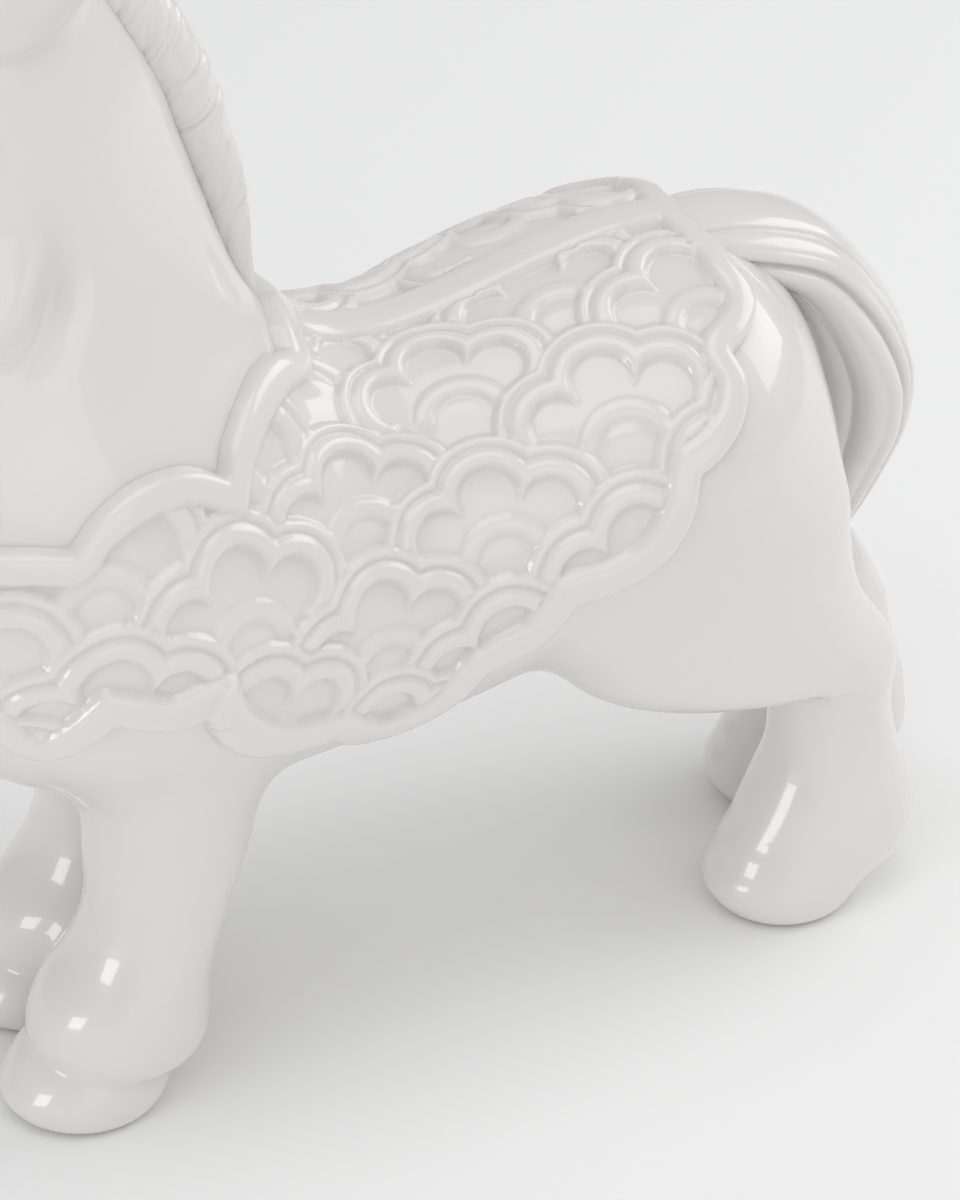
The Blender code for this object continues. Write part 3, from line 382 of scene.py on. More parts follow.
def head_form():
    sides = 96
    c, s = turn(sides)
    square = HEAD_ROUND + HEAD_SQUARE / np.maximum(np.abs(c), np.abs(s))
    rings = []
    for x, top, bottom, half, egg in smooth_rows(HEAD, 140):
        y = half * (1 - egg * s) * c * square
        z = (top + bottom) / 2 + (top - bottom) / 2 * s * square
        rings.append(np.stack([np.full(sides, x), y, z], -1))
    return closed_form(np.array(rings))


def path_frame(rows, count):
    """Places along a path with the directions across it and out of it."""
    table = smooth_rows(rows, count)
    place = table[:, :3]
    ahead = np.gradient(place, axis=0)
    ahead /= np.linalg.norm(ahead, axis=1)[:, None]
    side = np.array([0.0, 1.0, 0.0]) - ahead * ahead[:, 1:2]
    side /= np.linalg.norm(side, axis=1)[:, None]
    return place, side, np.cross(side, ahead), table[:, 3], table[:, 4]


def path_rings(rows, count, n, shape):
    """Rings square to a path; shape(angle, share) scales the radius."""
    place, side, out, across, deep = path_frame(rows, count)
    angle = np.linspace(0, 2 * math.pi, n, endpoint=False)[None, :]
    share = np.linspace(0, 1, count)[:, None]
    r = shape(angle, share)
    return (place[:, None] + side[:, None] * (across[:, None] * r * np.cos(angle))[..., None]
            + out[:, None] * (deep[:, None] * r * np.sin(angle))[..., None])


def even_shape(angle, share):
    """A section that stays as its rows give it."""
    return np.ones_like(angle + share)


def ball_form(centre, radii, tilt=0.0, yaw=0.0):
    """Ellipsoid; tilt turns it in the side view and yaw in the top view, in degrees."""
    sides = 48
    up = np.linspace(-math.pi / 2, math.pi / 2, 34)[1:-1]
    c, s = turn(sides)
    rings = np.stack([np.cos(up)[:, None] * c, np.cos(up)[:, None] * s,
                      np.repeat(np.sin(up)[:, None], sides, 1)], -1) * np.array(radii)
    a, b = math.radians(tilt), math.radians(yaw)
    turn_y = np.array([[math.cos(a), 0, math.sin(a)], [0, 1, 0], [-math.sin(a), 0, math.cos(a)]])
    turn_z = np.array([[math.cos(b), -math.sin(b), 0], [math.sin(b), math.cos(b), 0], [0, 0, 1]])
    return closed_form(rings @ (turn_z @ turn_y).T + np.array(centre, float))


# Clay: a grid of distances into which closed forms are pressed

def soft_union(a, b, blend):
    """The nearer of two distances, rounded where they are alike."""
    near = np.maximum(blend - np.abs(a - b), 0) / blend
    return np.minimum(a, b) - near * near * (blend / 4)


class Clay:
    """Distances to the surface on a grid, in millimetres."""

    def __init__(self, low, high, step):
        self.low = np.array(low, float)
        self.step = step
        self.shape = np.ceil((np.array(high, float) - self.low) / step).astype(int) + 1
        self.field = np.full(self.shape, FAR, np.float32)

    def add(self, form, blend, reach=0.0, carve=False):
        """Presses a form in; later forms can blend with it up to its reach."""
        points, triangles = form
        reach = max(blend, reach, LEAST_REACH) + self.step
        low = np.maximum(np.floor((points.min(0) - reach - self.low) / self.step).astype(int), 0)
        high = np.ceil((points.max(0) + reach - self.low) / self.step).astype(int) + 1
        high = np.minimum(high, self.shape)
        grid = vdb.FloatGrid.createLevelSetFromPolygons(
            ((points - self.low) / self.step).astype(np.float32),
            triangles=triangles.astype(np.uint32),
            transform=vdb.createLinearTransform(voxelSize=1.0), halfWidth=reach / self.step)
        part = np.empty(high - low, np.float32)
        grid.copyToArray(part, ijk=tuple(int(k) for k in low))
        part *= self.step
        part[part > reach - 0.5 * self.step] = FAR
        room = tuple(slice(a, b) for a, b in zip(low, high))
        if carve:
            self.field[room] = -soft_union(-self.field[room], part, blend)
        else:
            self.field[room] = soft_union(self.field[room], part, blend)

    def skin(self):
        """Points and four-sided faces of the surface."""
        grid = vdb.FloatGrid(10.0)
        grid.copyFromArray(np.ascontiguousarray(self.field / self.step, dtype=np.float32), ijk=(0, 0, 0))
        grid.transform = vdb.createLinearTransform(voxelSize=1.0)
        points, quads = grid.convertToQuads()
        return points.astype(float) * self.step + self.low, quads.astype(np.int64)


def relaxed(points, quads):
    """Evens out the grid's own pattern by moving each point towards its neighbours."""
    one = quads.ravel()
    other = quads[:, [1, 2, 3, 0]].ravel()
    start = np.concatenate([one, other])
    end = np.concatenate([other, one])
    number = np.bincount(start, minlength=len(points))[:, None]
    for _ in range(RELAX_ROUNDS):
        for step in (RELAX_STRENGTH, -RELAX_STRENGTH * RELAX_RETURN):
            mean = np.stack([np.bincount(start, points[end, k], len(points)) for k in range(3)], -1) / number
            points = points + (mean - points) * step
    return points


def normals_of(points, quads):
    """Outward direction at each point, from the faces round it."""
    a, b, c, d = (points[quads[:, k]] for k in range(4))
    flat = np.cross(c - a, d - b)
    total = np.stack([sum(np.bincount(quads[:, k], flat[:, axis], len(points)) for k in range(4))
                      for axis in range(3)], -1)
    return total / np.maximum(np.linalg.norm(total, axis=1), 1e-12)[:, None]


def line_distance(points, line, reach):
    """Distance to a line through points in space, with the share of the way along it."""
    dense = smooth_rows(line, 24 * len(line))
    best = np.full(len(points), reach * 4.0)
    share = np.zeros(len(points))
    box = ((points > dense.min(0) - reach * 3) & (points < dense.max(0) + reach * 3)).all(1)
    index = np.nonzero(box)[0]
    near = points[index]
    distance = np.full(len(near), reach * 4.0)
    place = np.zeros(len(near))
    for k, p in enumerate(dense):
        d = np.linalg.norm(near - p, axis=1)
        closer = d < distance
        distance[closer] = d[closer]
        place[closer] = k / (len(dense) - 1)
    best[index] = distance
    share[index] = place
    return best, share


def groove(points, normals, line, depth, width, fade):
    """Presses a groove (or raises a ridge, with a negative depth) along a line."""
    distance, share = line_distance(points, line, width)
    ends = np.clip(np.minimum(share, 1 - share) / fade, 0, 1)
    ends = ends * ends * (3 - 2 * ends)
    return points - normals * (depth * ends * np.exp(-(distance / width) ** 2))[:, None]


def both_sides(line):
    return [line, [(x, -y, z) for x, y, z in line]]


# Objects and materials

def add_mesh(name, points, faces, material):
    """A smooth object from points in millimetres in the modeller's frame."""
    mesh = bpy.data.meshes.new(name)
    placed = (points + np.array([SHIFT_X, 0.0, 0.0])) * MM
    mesh.vertices.add(len(placed))
    mesh.vertices.foreach_set("co", placed.astype(np.float32).ravel())
    sides = faces.shape[1]
    mesh.loops.add(faces.size)
    mesh.loops.foreach_set("vertex_index", faces.ravel().astype(np.int32))
    mesh.polygons.add(len(faces))
    mesh.polygons.foreach_set("loop_start", np.arange(0, faces.size, sides, dtype=np.int32))
    mesh.update(calc_edges=True)
    mesh.validate()
    mesh.shade_smooth()
    mesh.materials.append(material)
    item = bpy.data.objects.new(name, mesh)
    bpy.context.scene.collection.objects.link(item)
    return item


def glaze_material(name, ripple, ripple_size):
    """White porcelain under clear glaze, with a faint drift of tone and a slightly wavy coat."""
    material = bpy.data.materials.new(name)
    material.use_nodes = True
    tree = material.node_tree
    nodes, links = tree.nodes, tree.links
    shader = nodes["Principled BSDF"]
    shader.inputs["Roughness"].default_value = 0.28
    shader.inputs["IOR"].default_value = 1.5
    shader.inputs["Coat Weight"].default_value = 1.0
    shader.inputs["Coat Roughness"].default_value = 0.03
    shader.inputs["Coat IOR"].default_value = 1.5
    shader.inputs["Subsurface Weight"].default_value = 0.35
    shader.inputs["Subsurface Radius"].default_value = (1.0, 0.9, 0.8)
    shader.inputs["Subsurface Scale"].default_value = 0.0016
    coordinates = nodes.new("ShaderNodeTexCoord")
    drift = nodes.new("ShaderNodeTexNoise")
    drift.inputs["Scale"].default_value = 22.0
    drift.inputs["Detail"].default_value = 2.0
    links.new(coordinates.outputs["Object"], drift.inputs["Vector"])
    tone = nodes.new("ShaderNodeValToRGB")
    tone.color_ramp.elements[0].position = 0.3
    tone.color_ramp.elements[1].position = 0.7
    tone.color_ramp.elements[0].color = (GLAZE[0] * 0.985, GLAZE[1] * 0.98, GLAZE[2] * 0.975, 1)
    tone.color_ramp.elements[1].color = (*GLAZE, 1)
    links.new(drift.outputs["Fac"], tone.inputs["Fac"])
    links.new(tone.outputs["Color"], shader.inputs["Base Color"])
    wave = nodes.new("ShaderNodeTexNoise")
    wave.inputs["Scale"].default_value = 1.0 / (ripple_size * MM)
    wave.inputs["Detail"].default_value = 1.0
    links.new(coordinates.outputs["Object"], wave.inputs["Vector"])
    bump = nodes.new("ShaderNodeBump")
    bump.inputs["Strength"].default_value = 1.0
    bump.inputs["Distance"].default_value = ripple * MM
    links.new(wave.outputs["Fac"], bump.inputs["Height"])
    links.new(bump.outputs["Normal"], shader.inputs["Normal"])
    links.new(bump.outputs["Normal"], shader.inputs["Coat Normal"])
    return material


# Skin: trunk, neck, head, ears and legs in one

def moved(rows, step):
    """Rows of an upright form, carried along x."""
    return [(z, front + step, back + step) + tuple(rest) for z, front, back, *rest in rows]


def press_body(clay):
    """Trunk, neck, head and the four legs; the left side is -1."""
    clay.add(trunk_form(), blend=3, reach=20)
    clay.add(upright_form(NECK), blend=18, reach=20)
    clay.add(head_form(), blend=6, reach=12)
    for side, fore, hind in ((-1, 0.0, 0.0), (1, RIGHT_FORE_STEP, RIGHT_HIND_STEP)):
        clay.add(upright_form(FORELEG, side, fore, FORE_STEP_TOP), blend=9)
        clay.add(upright_form(moved(FOREHOOF, fore), side), blend=1.6)
        clay.add(upright_form(HINDLEG, side, hind, HIND_STEP_TOP), blend=9)
        clay.add(upright_form(moved(HINDHOOF, hind), side), blend=5)


def press_head(clay):
    """Cheek, brow, eye, nostril and ear of each side, then the chin and the lips."""
    for side in (-1, 1):
        cheek = ball_form((-98, side * 11, 258), (19, 13.5, 20.5), 10)
        brow = ball_form((-117, side * 14.5, 279), (12, 6.5, 6), 25, side * 12)
        eye = ball_form((-121, side * 16.0, 269.5), (6.2, 4.4, 4.6), 14, side * 14)
        nostril_rim = ball_form((-171, side * 9.0, 251), (8.5, 6.2, 8), -20)
        nostril = ball_form((-175.5, side * 11.6, 251.5), (3.4, 3.6, 4.4), -25)
        clay.add(cheek, blend=6)
        clay.add(brow, blend=5)
        clay.add(eye, blend=1.2)
        clay.add(nostril_rim, blend=5)
        clay.add(nostril, blend=1.6, carve=True)
        press_ear(clay, side)
    chin = ball_form((-164, 0, 238), (11, 8.5, 5.5), -4)
    lips = ball_form((-173, 0, 243), (7, 10.5, 6.5))
    clay.add(chin, blend=5)
    clay.add(lips, blend=4)


def press_ear(clay, side):
    rows = [(x, side * y, z, across, deep) for x, y, z, across, deep in EAR]
    clay.add(closed_form(path_rings(rows, 60, 48, even_shape)), blend=3)
    scoop = [(x - SCOOP_FORWARD, y + side * SCOOP_OUTWARD, z + SCOOP_UP,
              across * SCOOP_ACROSS, deep * SCOOP_DEEP) for x, y, z, across, deep in rows[1:5]]
    clay.add(closed_form(path_rings(scoop, 40, 32, even_shape)), blend=1.4, carve=True)


def carve_lines(points, quads):
    """Creases pressed into the skin before the glaze."""
    normals = normals_of(points, quads)
    neck = [(-93.5, -26, 216), (-93.7, -26, 209), (-93.5, -27.3, 202), (-94.2, -28.7, 194.5),
            (-97.9, -30.2, 187.8), (-103.4, -31, 182.8), (-109, -31, 178.5), (-116, -28, 174)]
    mouth = [(-180.2, 0.0, 243.2), (-178, -7.5, 242.6), (-172, -12.4, 241.6), (-164, -14, 241.2),
             (-156, -13.8, 243)]
    lid = [(-127.6, -17.6, 268.0), (-125.6, -19.2, 272.2), (-121.4, -20.4, 274.2),
           (-116.6, -20.8, 272.6), (-113.6, -20.6, 269.6)]
    lower_lid = [(-127.6, -17.6, 268.0), (-124.6, -19.6, 265.6), (-120.4, -20.6, 265.0),
                 (-116.2, -20.8, 266.8), (-113.6, -20.6, 269.6)]
    throat = [(-84, -15, 243), (-89, -19, 239.5), (-97, -21, 238), (-106, -21, 238.5), (-113, -19, 240)]
    windpipe = [(x - 9, y + 2.5, z - 2) for x, y, z in neck[1:-1]]
    # Line, depth (a ridge where it is below zero), width, share of each end that fades
    creases = ((windpipe, -3.0, 7.5, 0.5), (neck, 4.9, 5.2, 0.55), (mouth, 1.1, 0.9, 0.12),
               (lid, 0.8, 0.8, 0.1), (lower_lid, 0.6, 0.8, 0.1), (throat, 1.2, 1.8, 0.3))
    for line, depth, width, fade in creases:
        for one in both_sides(line):
            points = groove(points, normals, one, depth, width, fade)
    return points


def make_skin(material):
    """The skin's points and faces for the cloth to lie on, and its object."""
    clay = Clay(CLAY_LOW, CLAY_HIGH, SKIN_STEP)
    press_body(clay)
    press_head(clay)
    points, quads = clay.skin()
    points = relaxed(points, quads)
    points = carve_lines(points, quads)
    points[:, 2] = np.maximum(points[:, 2], 0.0)
    return points, quads, add_mesh("foal_skin", points, quads, material)


# Mane and tail

def ridges(phase, sharp):
    """Rounded locks with narrow furrows between them, from 0 in a furrow to 1."""
    return np.abs(np.sin(math.pi * phase)) ** sharp


def mane_shape(angle, share):
    """Broad locks with finer ones on them, uneven along the mane and leaning at the crest."""
    outer = np.clip(np.sin(angle) * 0.5 + 0.5, 0, 1)
    along = share + 0.012 * np.sin(41 * share + 1) + 0.008 * np.sin(97 * share)
    number, lean, sharp, high = LOCKS
    locks = ridges(number * along - lean * outer + 0.1 * np.sin(3 * angle + 20 * share), sharp)
    number, lean, sharp, fine_high = FINE_LOCKS
    fine = ridges(number * along - lean * outer + 0.3 * np.sin(2 * angle + 33 * share), sharp)
    fade = np.clip(np.minimum(share / MANE_START, (1 - share) / MANE_END), 0, 1)
    return 1 + fade * (high * (locks - LOCK_MIDDLE) + fine_high * (fine - LOCK_MIDDLE))


def tail_shape(angle, share):
    """Broad smooth strands at the root and towards the body, finer ones on the outer side."""
    from_outer = np.abs((angle / math.pi - 1.5 + 1) % 2 - 1)
    result = np.ones(np.broadcast_shapes(from_outer.shape, share.shape))
    for places, depths, width in TAIL_FURROWS:
        away = np.abs(from_outer - np.interp(share, TAIL_STAGES, places))
        result -= np.interp(share, TAIL_STAGES, depths) * np.exp(-(away / width) ** TAIL_FURROW_POWER)
    start = np.clip(share / TAIL_SMOOTH, 0.0, 1)
    return 1 + start * (result - 1)


def make_hair(name, rows, count, n, shape, material):
    """Mane or tail: count rings of n points along its rows."""
    points, triangles = closed_form(path_rings(rows, count, n, shape))
    return add_mesh(name, points, triangles[:, ::-1], material)


# Saddle cloth

def outline_inside(u, v):
    """True inside the cloth's outline, by counting crossings."""
    low = [smooth_rows(lobe, 10 * len(lobe)) for lobe in EDGE_LOBES_LOW]
    high = [smooth_rows(lobe, 10 * len(lobe)) for lobe in EDGE_LOBES]
    ends = [[(CHEST_U - OUTLINE_MARGIN, 29.0), (CHEST_U - OUTLINE_MARGIN, -16.5)],
            [(50.5, SPINE_V + OUTLINE_MARGIN), (-40.0, SPINE_V + OUTLINE_MARGIN)]]
    ring = np.vstack([ends[0]] + low + [ends[1]] + high)
    inside = np.zeros(u.shape, bool)
    for (ax, ay), (bx, by) in zip(ring, np.roll(ring, -1, axis=0)):
        if ay != by:
            crosses = (ay > v) != (by > v)
            inside ^= crosses & (u < (bx - ax) * (v - ay) / (by - ay) + ax)
    return inside


def edge_depth(u, v):
    """Distance inside the cloth's edge, mitred at the cusps between its lobes, and border width."""
    best = np.full(u.shape, 1e9)
    width = np.full(u.shape, 1.0)
    cusp = np.full(u.shape, -1)
    corners = []
    for lobes, widths in ((EDGE_LOBES, BORDER_WIDTHS), (EDGE_LOBES_LOW, BORDER_WIDTHS_LOW)):
        lines = [smooth_rows(lobe, 10 * len(lobe)) for lobe in lobes]
        for k, line in enumerate(lines):
            first = (widths[k] + widths[max(k - 1, 0)]) / 2
            last = (widths[k] + widths[min(k + 1, len(widths) - 1)]) / 2
            along = np.linspace(0, 1, len(line))
            across = np.interp(along, WIDTH_PLACES, (first, widths[k], widths[k], last))
            for n in range(len(line) - 1):
                (ax, ay), (bx, by) = line[n], line[n + 1]
                dx, dy = bx - ax, by - ay
                t = np.clip(((u - ax) * dx + (v - ay) * dy) / (dx * dx + dy * dy), 0, 1)
                distance = np.hypot(u - ax - t * dx, v - ay - t * dy)
                closer = distance < best
                best[closer] = distance[closer]
                width[closer] = (across[n] + t * (across[n + 1] - across[n]))[closer]
                cusp[closer] = -1
            if k + 1 < len(lines):
                end, before, after = line[-1], line[-1] - line[-2], lines[k + 1][1] - lines[k + 1][0]
                at_end = np.hypot(u - end[0], v - end[1]) <= best + 1e-6
                cusp[at_end] = len(corners)
                corners.append((end, before / np.linalg.norm(before), after / np.linalg.norm(after)))
    for number, (end, before, after) in enumerate(corners):
        mine = cusp == number
        x, y = u[mine] - end[0], v[mine] - end[1]
        best[mine] = np.maximum(before[0] * y - before[1] * x, after[0] * y - after[1] * x)
    return np.where(outline_inside(u, v), np.abs(best), -np.abs(best)), width


def pillow(t, power):
    """Rounded top of a ribbon: 1 on its middle line, 0 on its edges."""
    return np.sqrt(np.clip(1 - np.abs(t) ** power, 0, 1))


def cloud_relief(u, v, below, top):
    """One cloud scale laid over what is there already; its lower end dips under the next row."""
    c, w = math.cos(math.radians(CLOUD_TILT)), math.sin(math.radians(CLOUD_TILT))
    x = c * (u - top[0]) + w * (v - top[1])
    y = c * (v - top[1]) - w * (u - top[0])
    away = np.min([np.hypot(x - a, y - b) - r for a, b, r in CLOUD_BAYS], axis=0)
    away = np.minimum(away, np.maximum(np.abs(x) - CLOUD_HALF_WIDTH, y + CLOUD_FOOT))
    main = RIBBON_HEIGHT * pillow(2 * away / RIBBON_WIDTH - 1, RIBBON_POWER)
    outside = away - RIBBON_WIDTH - FURROW_WIDTH
    echo = ECHO_HEIGHT * pillow(2 * outside / ECHO_WIDTH - 1, ECHO_POWER)
    ribbons = np.maximum(np.maximum(main, echo), FURROW_HEIGHT * (away > RIBBON_WIDTH / 2))
    from_centre = np.hypot(x - FAN_CENTRE[0], y - FAN_CENTRE[1])
    from_fan = from_centre - FAN_RADIUS
    fade = np.clip((y - FAN_CENTRE[1] + FAN_BELOW) / FAN_FADE, 0, 1)
    fan = FAN_HEIGHT * pillow(2 * from_fan / FAN_WIDTH + 1, FAN_POWER) * fade
    fan = np.maximum(fan, DISC_HEIGHT * pillow(from_centre / DISC_RADIUS, DISC_POWER) * fade)
    sink = np.clip(1 + (y + SINK_FROM) * SINK_RATE, SINK_LEAST, 1)
    scale = np.where(away > 0, ribbons * sink, fan)
    return np.where(outside < ECHO_WIDTH, scale, below)


def pattern_relief(u, v):
    """Height of all the scales over the cloth's floor."""
    relief = np.zeros(u.shape)
    for top in CLOUDS:
        beside = np.abs(u - top[0]) < CLOUD_REACH
        above = v - top[1]
        near = beside & (above < CLOUD_ABOVE) & (above > -CLOUD_REACH - CLOUD_ABOVE)
        relief[near] = cloud_relief(u[near], v[near], relief[near], top)
    return relief


def blurred(grid, cells):
    """Gaussian blur over the first two axes."""
    reach = int(math.ceil(cells * 3))
    kernel = np.exp(-0.5 * (np.arange(-reach, reach + 1) / cells) ** 2)
    kernel /= kernel.sum()
    for axis in (0, 1):
        pad = [(0, 0)] * grid.ndim
        pad[axis] = (reach, reach)
        wide = np.pad(grid, pad, mode="reflect", reflect_type="odd")
        size = grid.shape[axis]
        grid = sum(k * np.take(wide, range(i, i + size), axis) for i, k in enumerate(kernel))
    return grid


def cloth_height(u, v, step, side):
    """Height over the skin at places of the flat pattern."""
    depth, width = edge_depth(u, v)
    relief = pattern_relief(u, v)
    border = BORDER_HEIGHT * pillow(2 * depth / width - 1, BORDER_POWER)
    from_fold = u - np.interp(v, FOLD_V, FOLD_U)
    near_fold = (v > FOLD_V[0] - FOLD_BELOW) & (v < FOLD_V[-1] + FOLD_ABOVE) & (from_fold > 0)
    border = border + near_fold * FOLD_LIFT * np.exp(-(from_fold / FOLD_REACH) ** 2) * (depth > 0)
    relief = np.where(depth < width, np.maximum(border, 0.0), relief)
    skew = np.clip(BAND_SKEW * (u - BAND_SKEW_FROM), -BAND_SKEW_MOST, BAND_SKEW_MOST)
    half = BAND_HALF_WIDTH + side * skew
    from_spine = SPINE_V - v
    band = BAND_HEIGHT * pillow(np.clip(from_spine / half, 0, 1), BAND_POWER)
    on_band = (from_spine < half) & (depth > 0)
    relief = np.where(on_band, np.maximum(band, np.where(depth < width, border, 0)), relief)
    height = FLOOR_HEIGHT + relief
    outside = np.clip(-depth / EDGE_WIDTH, 0, 1)
    height = np.where(depth < EDGE_START, height * (1 - outside) - EDGE_DROP * outside, height)
    height = blurred(height, HEIGHT_BLUR / step)
    if side > 0:
        along, across = (u - FULL_PLACE[0]) / FULL_REACH[0], (v - FULL_PLACE[1]) / FULL_REACH[1]
        height = height + FULL_HEIGHT * np.exp(-along ** 2 - across ** 2) * (1 - outside)
    return height, depth


def cloth_grid(step):
    """Places of the flat pattern, from the chest back and from below up to the spine."""
    rows = int(round((SPINE_V - PATTERN_LOW) / step))
    columns = int(round((PATTERN_REAR - CHEST_U) / step))
    v = np.linspace(PATTERN_LOW, SPINE_V, rows + 1)
    u = np.linspace(CHEST_U, PATTERN_REAR, columns + 1)
    return np.meshgrid(u, v, indexing="ij")


def drape_base(u, v, tree):
    """Places on the skin's left side under the flat pattern."""
    around = np.maximum(0.0, (AXIS_FRONT_X - u) / CHEST_RADIUS)
    up = np.minimum(v, SPINE_V - SPINE_GAP) / DRAPE_RADIUS
    way = np.stack([-np.sin(around) * np.cos(up), -np.cos(around) * np.cos(up), np.sin(up)], -1)
    axis = np.stack([np.maximum(u, AXIS_FRONT_X), np.zeros_like(u), np.full_like(u, AXIS_Z)], -1)
    start = axis + way * RAY_START
    flat_start, flat_way = start.reshape(-1, 3), way.reshape(-1, 3)
    hits = np.empty_like(flat_start)
    for k in range(len(hits)):
        hit = tree.ray_cast(flat_start[k], -flat_way[k], RAY_START)[0]
        hits[k] = hit if hit is not None else flat_start[k] - flat_way[k] * RAY_MISS
    return hits.reshape(u.shape + (3,))


def grid_normals(base):
    """Outward direction at each place of the left side."""
    du = np.gradient(base, axis=0)
    dv = np.gradient(base, axis=1)
    normal = np.cross(du, dv)
    size = np.linalg.norm(normal, axis=-1, keepdims=True)
    return normal / np.maximum(size, 1e-9)


def make_cloth(skin_points, skin_quads):
    """Upper and lower sheets of both halves with their rims; the right half is mirrored."""
    step = CLOTH_STEP
    u, v = cloth_grid(step)
    heights = {}
    for side in (-1, 1):
        heights[side], depth = cloth_height(u, v, step, side)
    tree = BVHTree.FromPolygons(skin_points.tolist(), skin_quads.tolist())
    points, faces = [], []
    keep = depth > -EDGE_KEPT
    cell = keep[:-1, :-1] & keep[1:, :-1] & keep[1:, 1:] & keep[:-1, 1:]
    number = np.arange(u.size).reshape(u.shape)
    quads = np.stack([number[:-1, :-1], number[1:, :-1], number[1:, 1:], number[:-1, 1:]], -1)[cell]
    base = blurred(drape_base(u, v, tree), BASE_BLUR / step)
    normal = grid_normals(base)
    low = base - normal * UNDERSIDE
    for side in (-1, 1):
        top = base + normal * heights[side][..., None]
        flip = np.array([1.0, -side, 1.0])
        start = sum(len(p) for p in points)
        upper = (top * flip).reshape(-1, 3)
        lower = (low * flip).reshape(-1, 3)
        points += [upper, lower]
        order = quads if side == -1 else quads[:, ::-1]
        faces += [order + start, order[:, ::-1] + start + u.size]
        faces.append(rim_faces(order) + np.array([0, 0, u.size, u.size]) + start)
    return points, faces, number


def rim_faces(quads):
    """Faces that join the upper sheet to the lower one round the outline."""
    edges = np.concatenate([quads[:, [k, (k + 1) % 4]] for k in range(4)])
    key = np.sort(edges, axis=1)
    size = key.max() + 1
    code = key[:, 0] * size + key[:, 1]
    _, first, count = np.unique(code, return_index=True, return_counts=True)
    rim = edges[first[count == 1]]
    return np.stack([rim[:, 1], rim[:, 0], rim[:, 0], rim[:, 1]], -1)


def join_halves(points, faces, number, material):
    """Welds the two halves along the spine and down the chest."""
    size = number.size
    stacked = np.vstack(points)
    merged = np.arange(4 * size)
    seams = np.concatenate([number[:, -1], number[0, :]])
    for layer in (0, 1):
        left = seams + layer * size
        right = seams + (2 + layer) * size
        merged[right] = left
        stacked[left, 1] = 0.0
    quads = merged[np.vstack(faces)]
    seam_set = np.zeros(4 * size, bool)
    seam_set[np.concatenate([seams, seams + size])] = True
    wall = seam_set[quads].all(1) & ((quads < size).sum(1) == 2)
    quads = quads[~wall]
    used, new = np.unique(quads, return_inverse=True)
    return add_mesh("saddle_cloth_relief", stacked[used], new.reshape(quads.shape), material)


# Stage

def look_matrix(eye, target):
    """Stands at eye and looks along its own -Z at target."""
    back = (Vector(eye) - Vector(target)).normalized()
    right = Vector((0, 0, 1)).cross(back).normalized()
    up = back.cross(right)
    turn_in = Matrix((right, up, back)).transposed().to_4x4()
    return Matrix.Translation(Vector(eye)) @ turn_in


def place(x, y, z):
    """A point of the modeller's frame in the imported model's frame."""
    return ((x + SHIFT_X) * MM, y * MM, z * MM)


def add_camera():
    a, e = math.radians(CAMERA_AZIMUTH), math.radians(CAMERA_ELEVATION)
    back = (math.sin(a) * math.cos(e), -math.cos(a) * math.cos(e), math.sin(e))
    eye = [t + CAMERA_DISTANCE * b for t, b in zip(CAMERA_TARGET, back)]
    data = bpy.data.cameras.new("camera")
    data.lens = CAMERA_LENS
    data.sensor_width = CAMERA_SENSOR
    data.sensor_fit = "AUTO"
    data.clip_start = 0.01
    data.clip_end = 20.0
    camera = bpy.data.objects.new("camera", data)
    camera.matrix_world = look_matrix(place(*eye), place(*CAMERA_TARGET))
    bpy.context.scene.collection.objects.link(camera)
    bpy.context.scene.camera = camera


def direction(azimuth, elevation, distance):
    """A place in metres seen from the origin at these angles."""
    a, e = math.radians(azimuth), math.radians(elevation)
    flat = distance * math.cos(e)
    return (flat * math.cos(a), flat * math.sin(a), distance * math.sin(e))


def add_lamp(name, at, target, width, height, radiance, roll):
    """Rectangular lamp whose power follows from its size and radiance."""
    data = bpy.data.lights.new(name, "AREA")
    data.shape = "RECTANGLE"
    data.size = width
    data.size_y = height
    data.energy = radiance * math.pi * width * height
    lamp = bpy.data.objects.new(name, data)
    lamp.matrix_world = look_matrix(at, target) @ Matrix.Rotation(math.radians(roll), 4, "Z")
    bpy.context.scene.collection.objects.link(lamp)


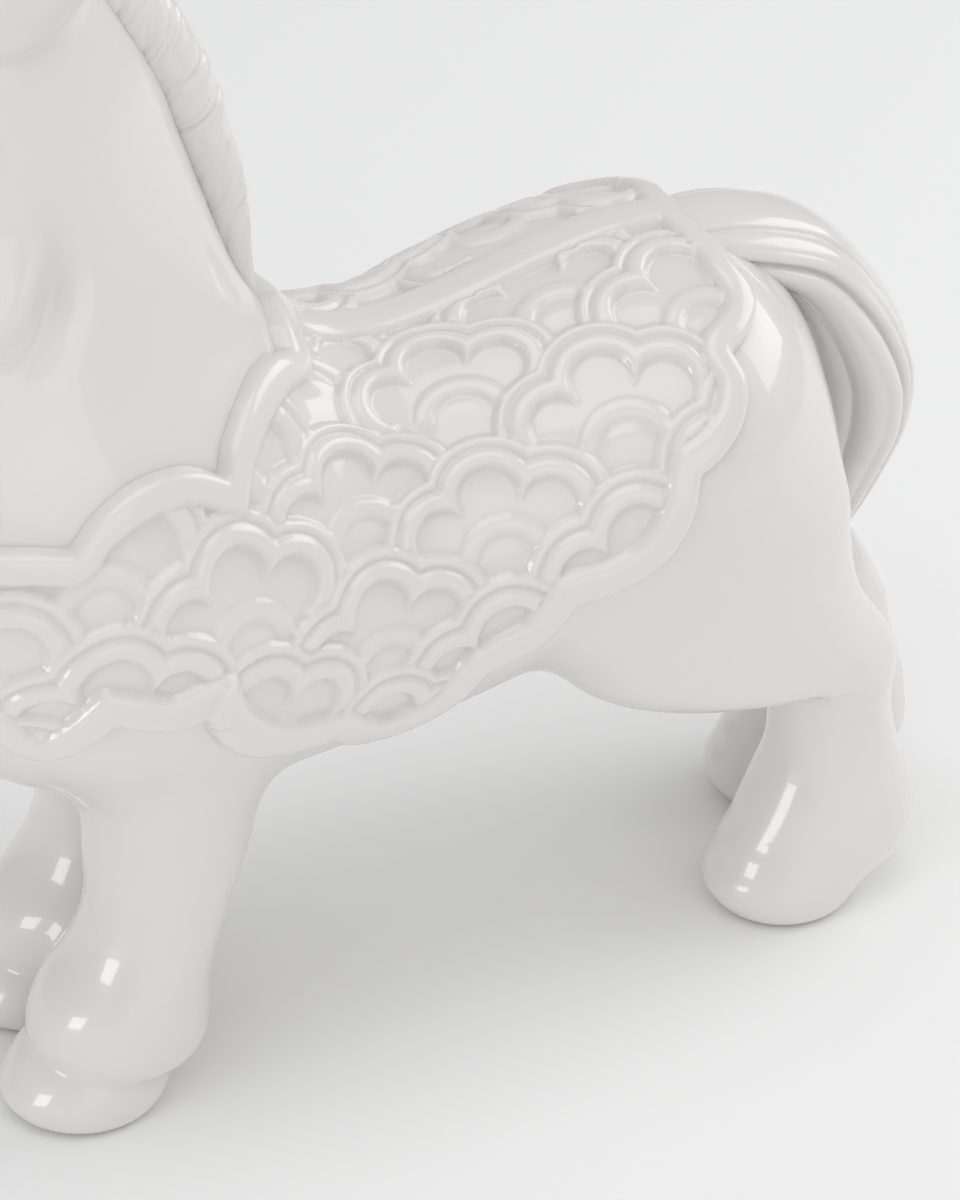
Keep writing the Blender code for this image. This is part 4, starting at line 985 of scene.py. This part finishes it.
def add_world(strength, shown):
    """Even white light, with a plain grey shown to the camera."""
    world = bpy.data.worlds.new("studio")
    bpy.context.scene.world = world
    world.use_nodes = True
    tree = world.node_tree
    tree.nodes.clear()
    light = tree.nodes.new("ShaderNodeBackground")
    light.inputs["Color"].default_value = (1, 1, 1, 1)
    light.inputs["Strength"].default_value = strength
    seen = tree.nodes.new("ShaderNodeBackground")
    seen.inputs["Color"].default_value = (*shown, 1)
    seen.inputs["Strength"].default_value = 1.0
    ray = tree.nodes.new("ShaderNodeLightPath")
    mix = tree.nodes.new("ShaderNodeMixShader")
    out = tree.nodes.new("ShaderNodeOutputWorld")
    tree.links.new(ray.outputs["Is Camera Ray"], mix.inputs[0])
    tree.links.new(light.outputs[0], mix.inputs[1])
    tree.links.new(seen.outputs[0], mix.inputs[2])
    tree.links.new(mix.outputs[0], out.inputs[0])


def add_floor():
    mesh = bpy.data.meshes.new("floor")
    half = FLOOR_HALF
    mesh.from_pydata([(-half, -half, 0), (half, -half, 0), (half, half, 0), (-half, half, 0)], [],
                     [(0, 1, 2, 3)])
    material = bpy.data.materials.new("floor_paper")
    material.use_nodes = True
    shader = material.node_tree.nodes["Principled BSDF"]
    shader.inputs["Base Color"].default_value = (*FLOOR_COLOUR, 1)
    shader.inputs["Roughness"].default_value = 0.9
    mesh.materials.append(material)
    floor = bpy.data.objects.new("floor", mesh)
    floor.location.z = -FLOOR_DROP
    bpy.context.scene.collection.objects.link(floor)


def main():
    body_glaze = glaze_material("body_glaze", 0.02, 9.0)
    hair_glaze = glaze_material("hair_glaze", 0.015, 5.0)
    cloth_glaze = glaze_material("cloth_glaze", 0.012, 4.0)
    skin_points, skin_quads, skin = make_skin(body_glaze)
    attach(skin, "root")
    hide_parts("trunk_shell", "neck_shell", "head_shell", "ear_left", "ear_right",
                "foreleg_left", "foreleg_right", "hindleg_left", "hindleg_right")
    mane = make_hair("mane_locks", MANE, 700, 96, mane_shape, hair_glaze)
    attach(mane, "root")
    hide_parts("mane")
    tail = make_hair("tail_locks", TAIL, 420, 260, tail_shape, hair_glaze)
    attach(tail, "root")
    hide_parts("tail")
    points, faces, number = make_cloth(skin_points, skin_quads)
    cloth = join_halves(points, faces, number, cloth_glaze)
    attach(cloth, "root")
    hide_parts("saddle_cloth", "cloth_border", "cloud_relief_left", "cloud_relief_right")
    add_floor()
    add_camera()
    add_world(STUDIO_LIGHT, STUDIO_COLOUR)
    for name, azimuth, elevation, distance, width, height, radiance, roll in LAMPS:
        add_lamp(name, direction(azimuth, elevation, distance), place(*LAMP_TARGET),
                 width, height, radiance, roll)


main()
scene = bpy.context.scene
scene.view_settings.view_transform = "Standard"
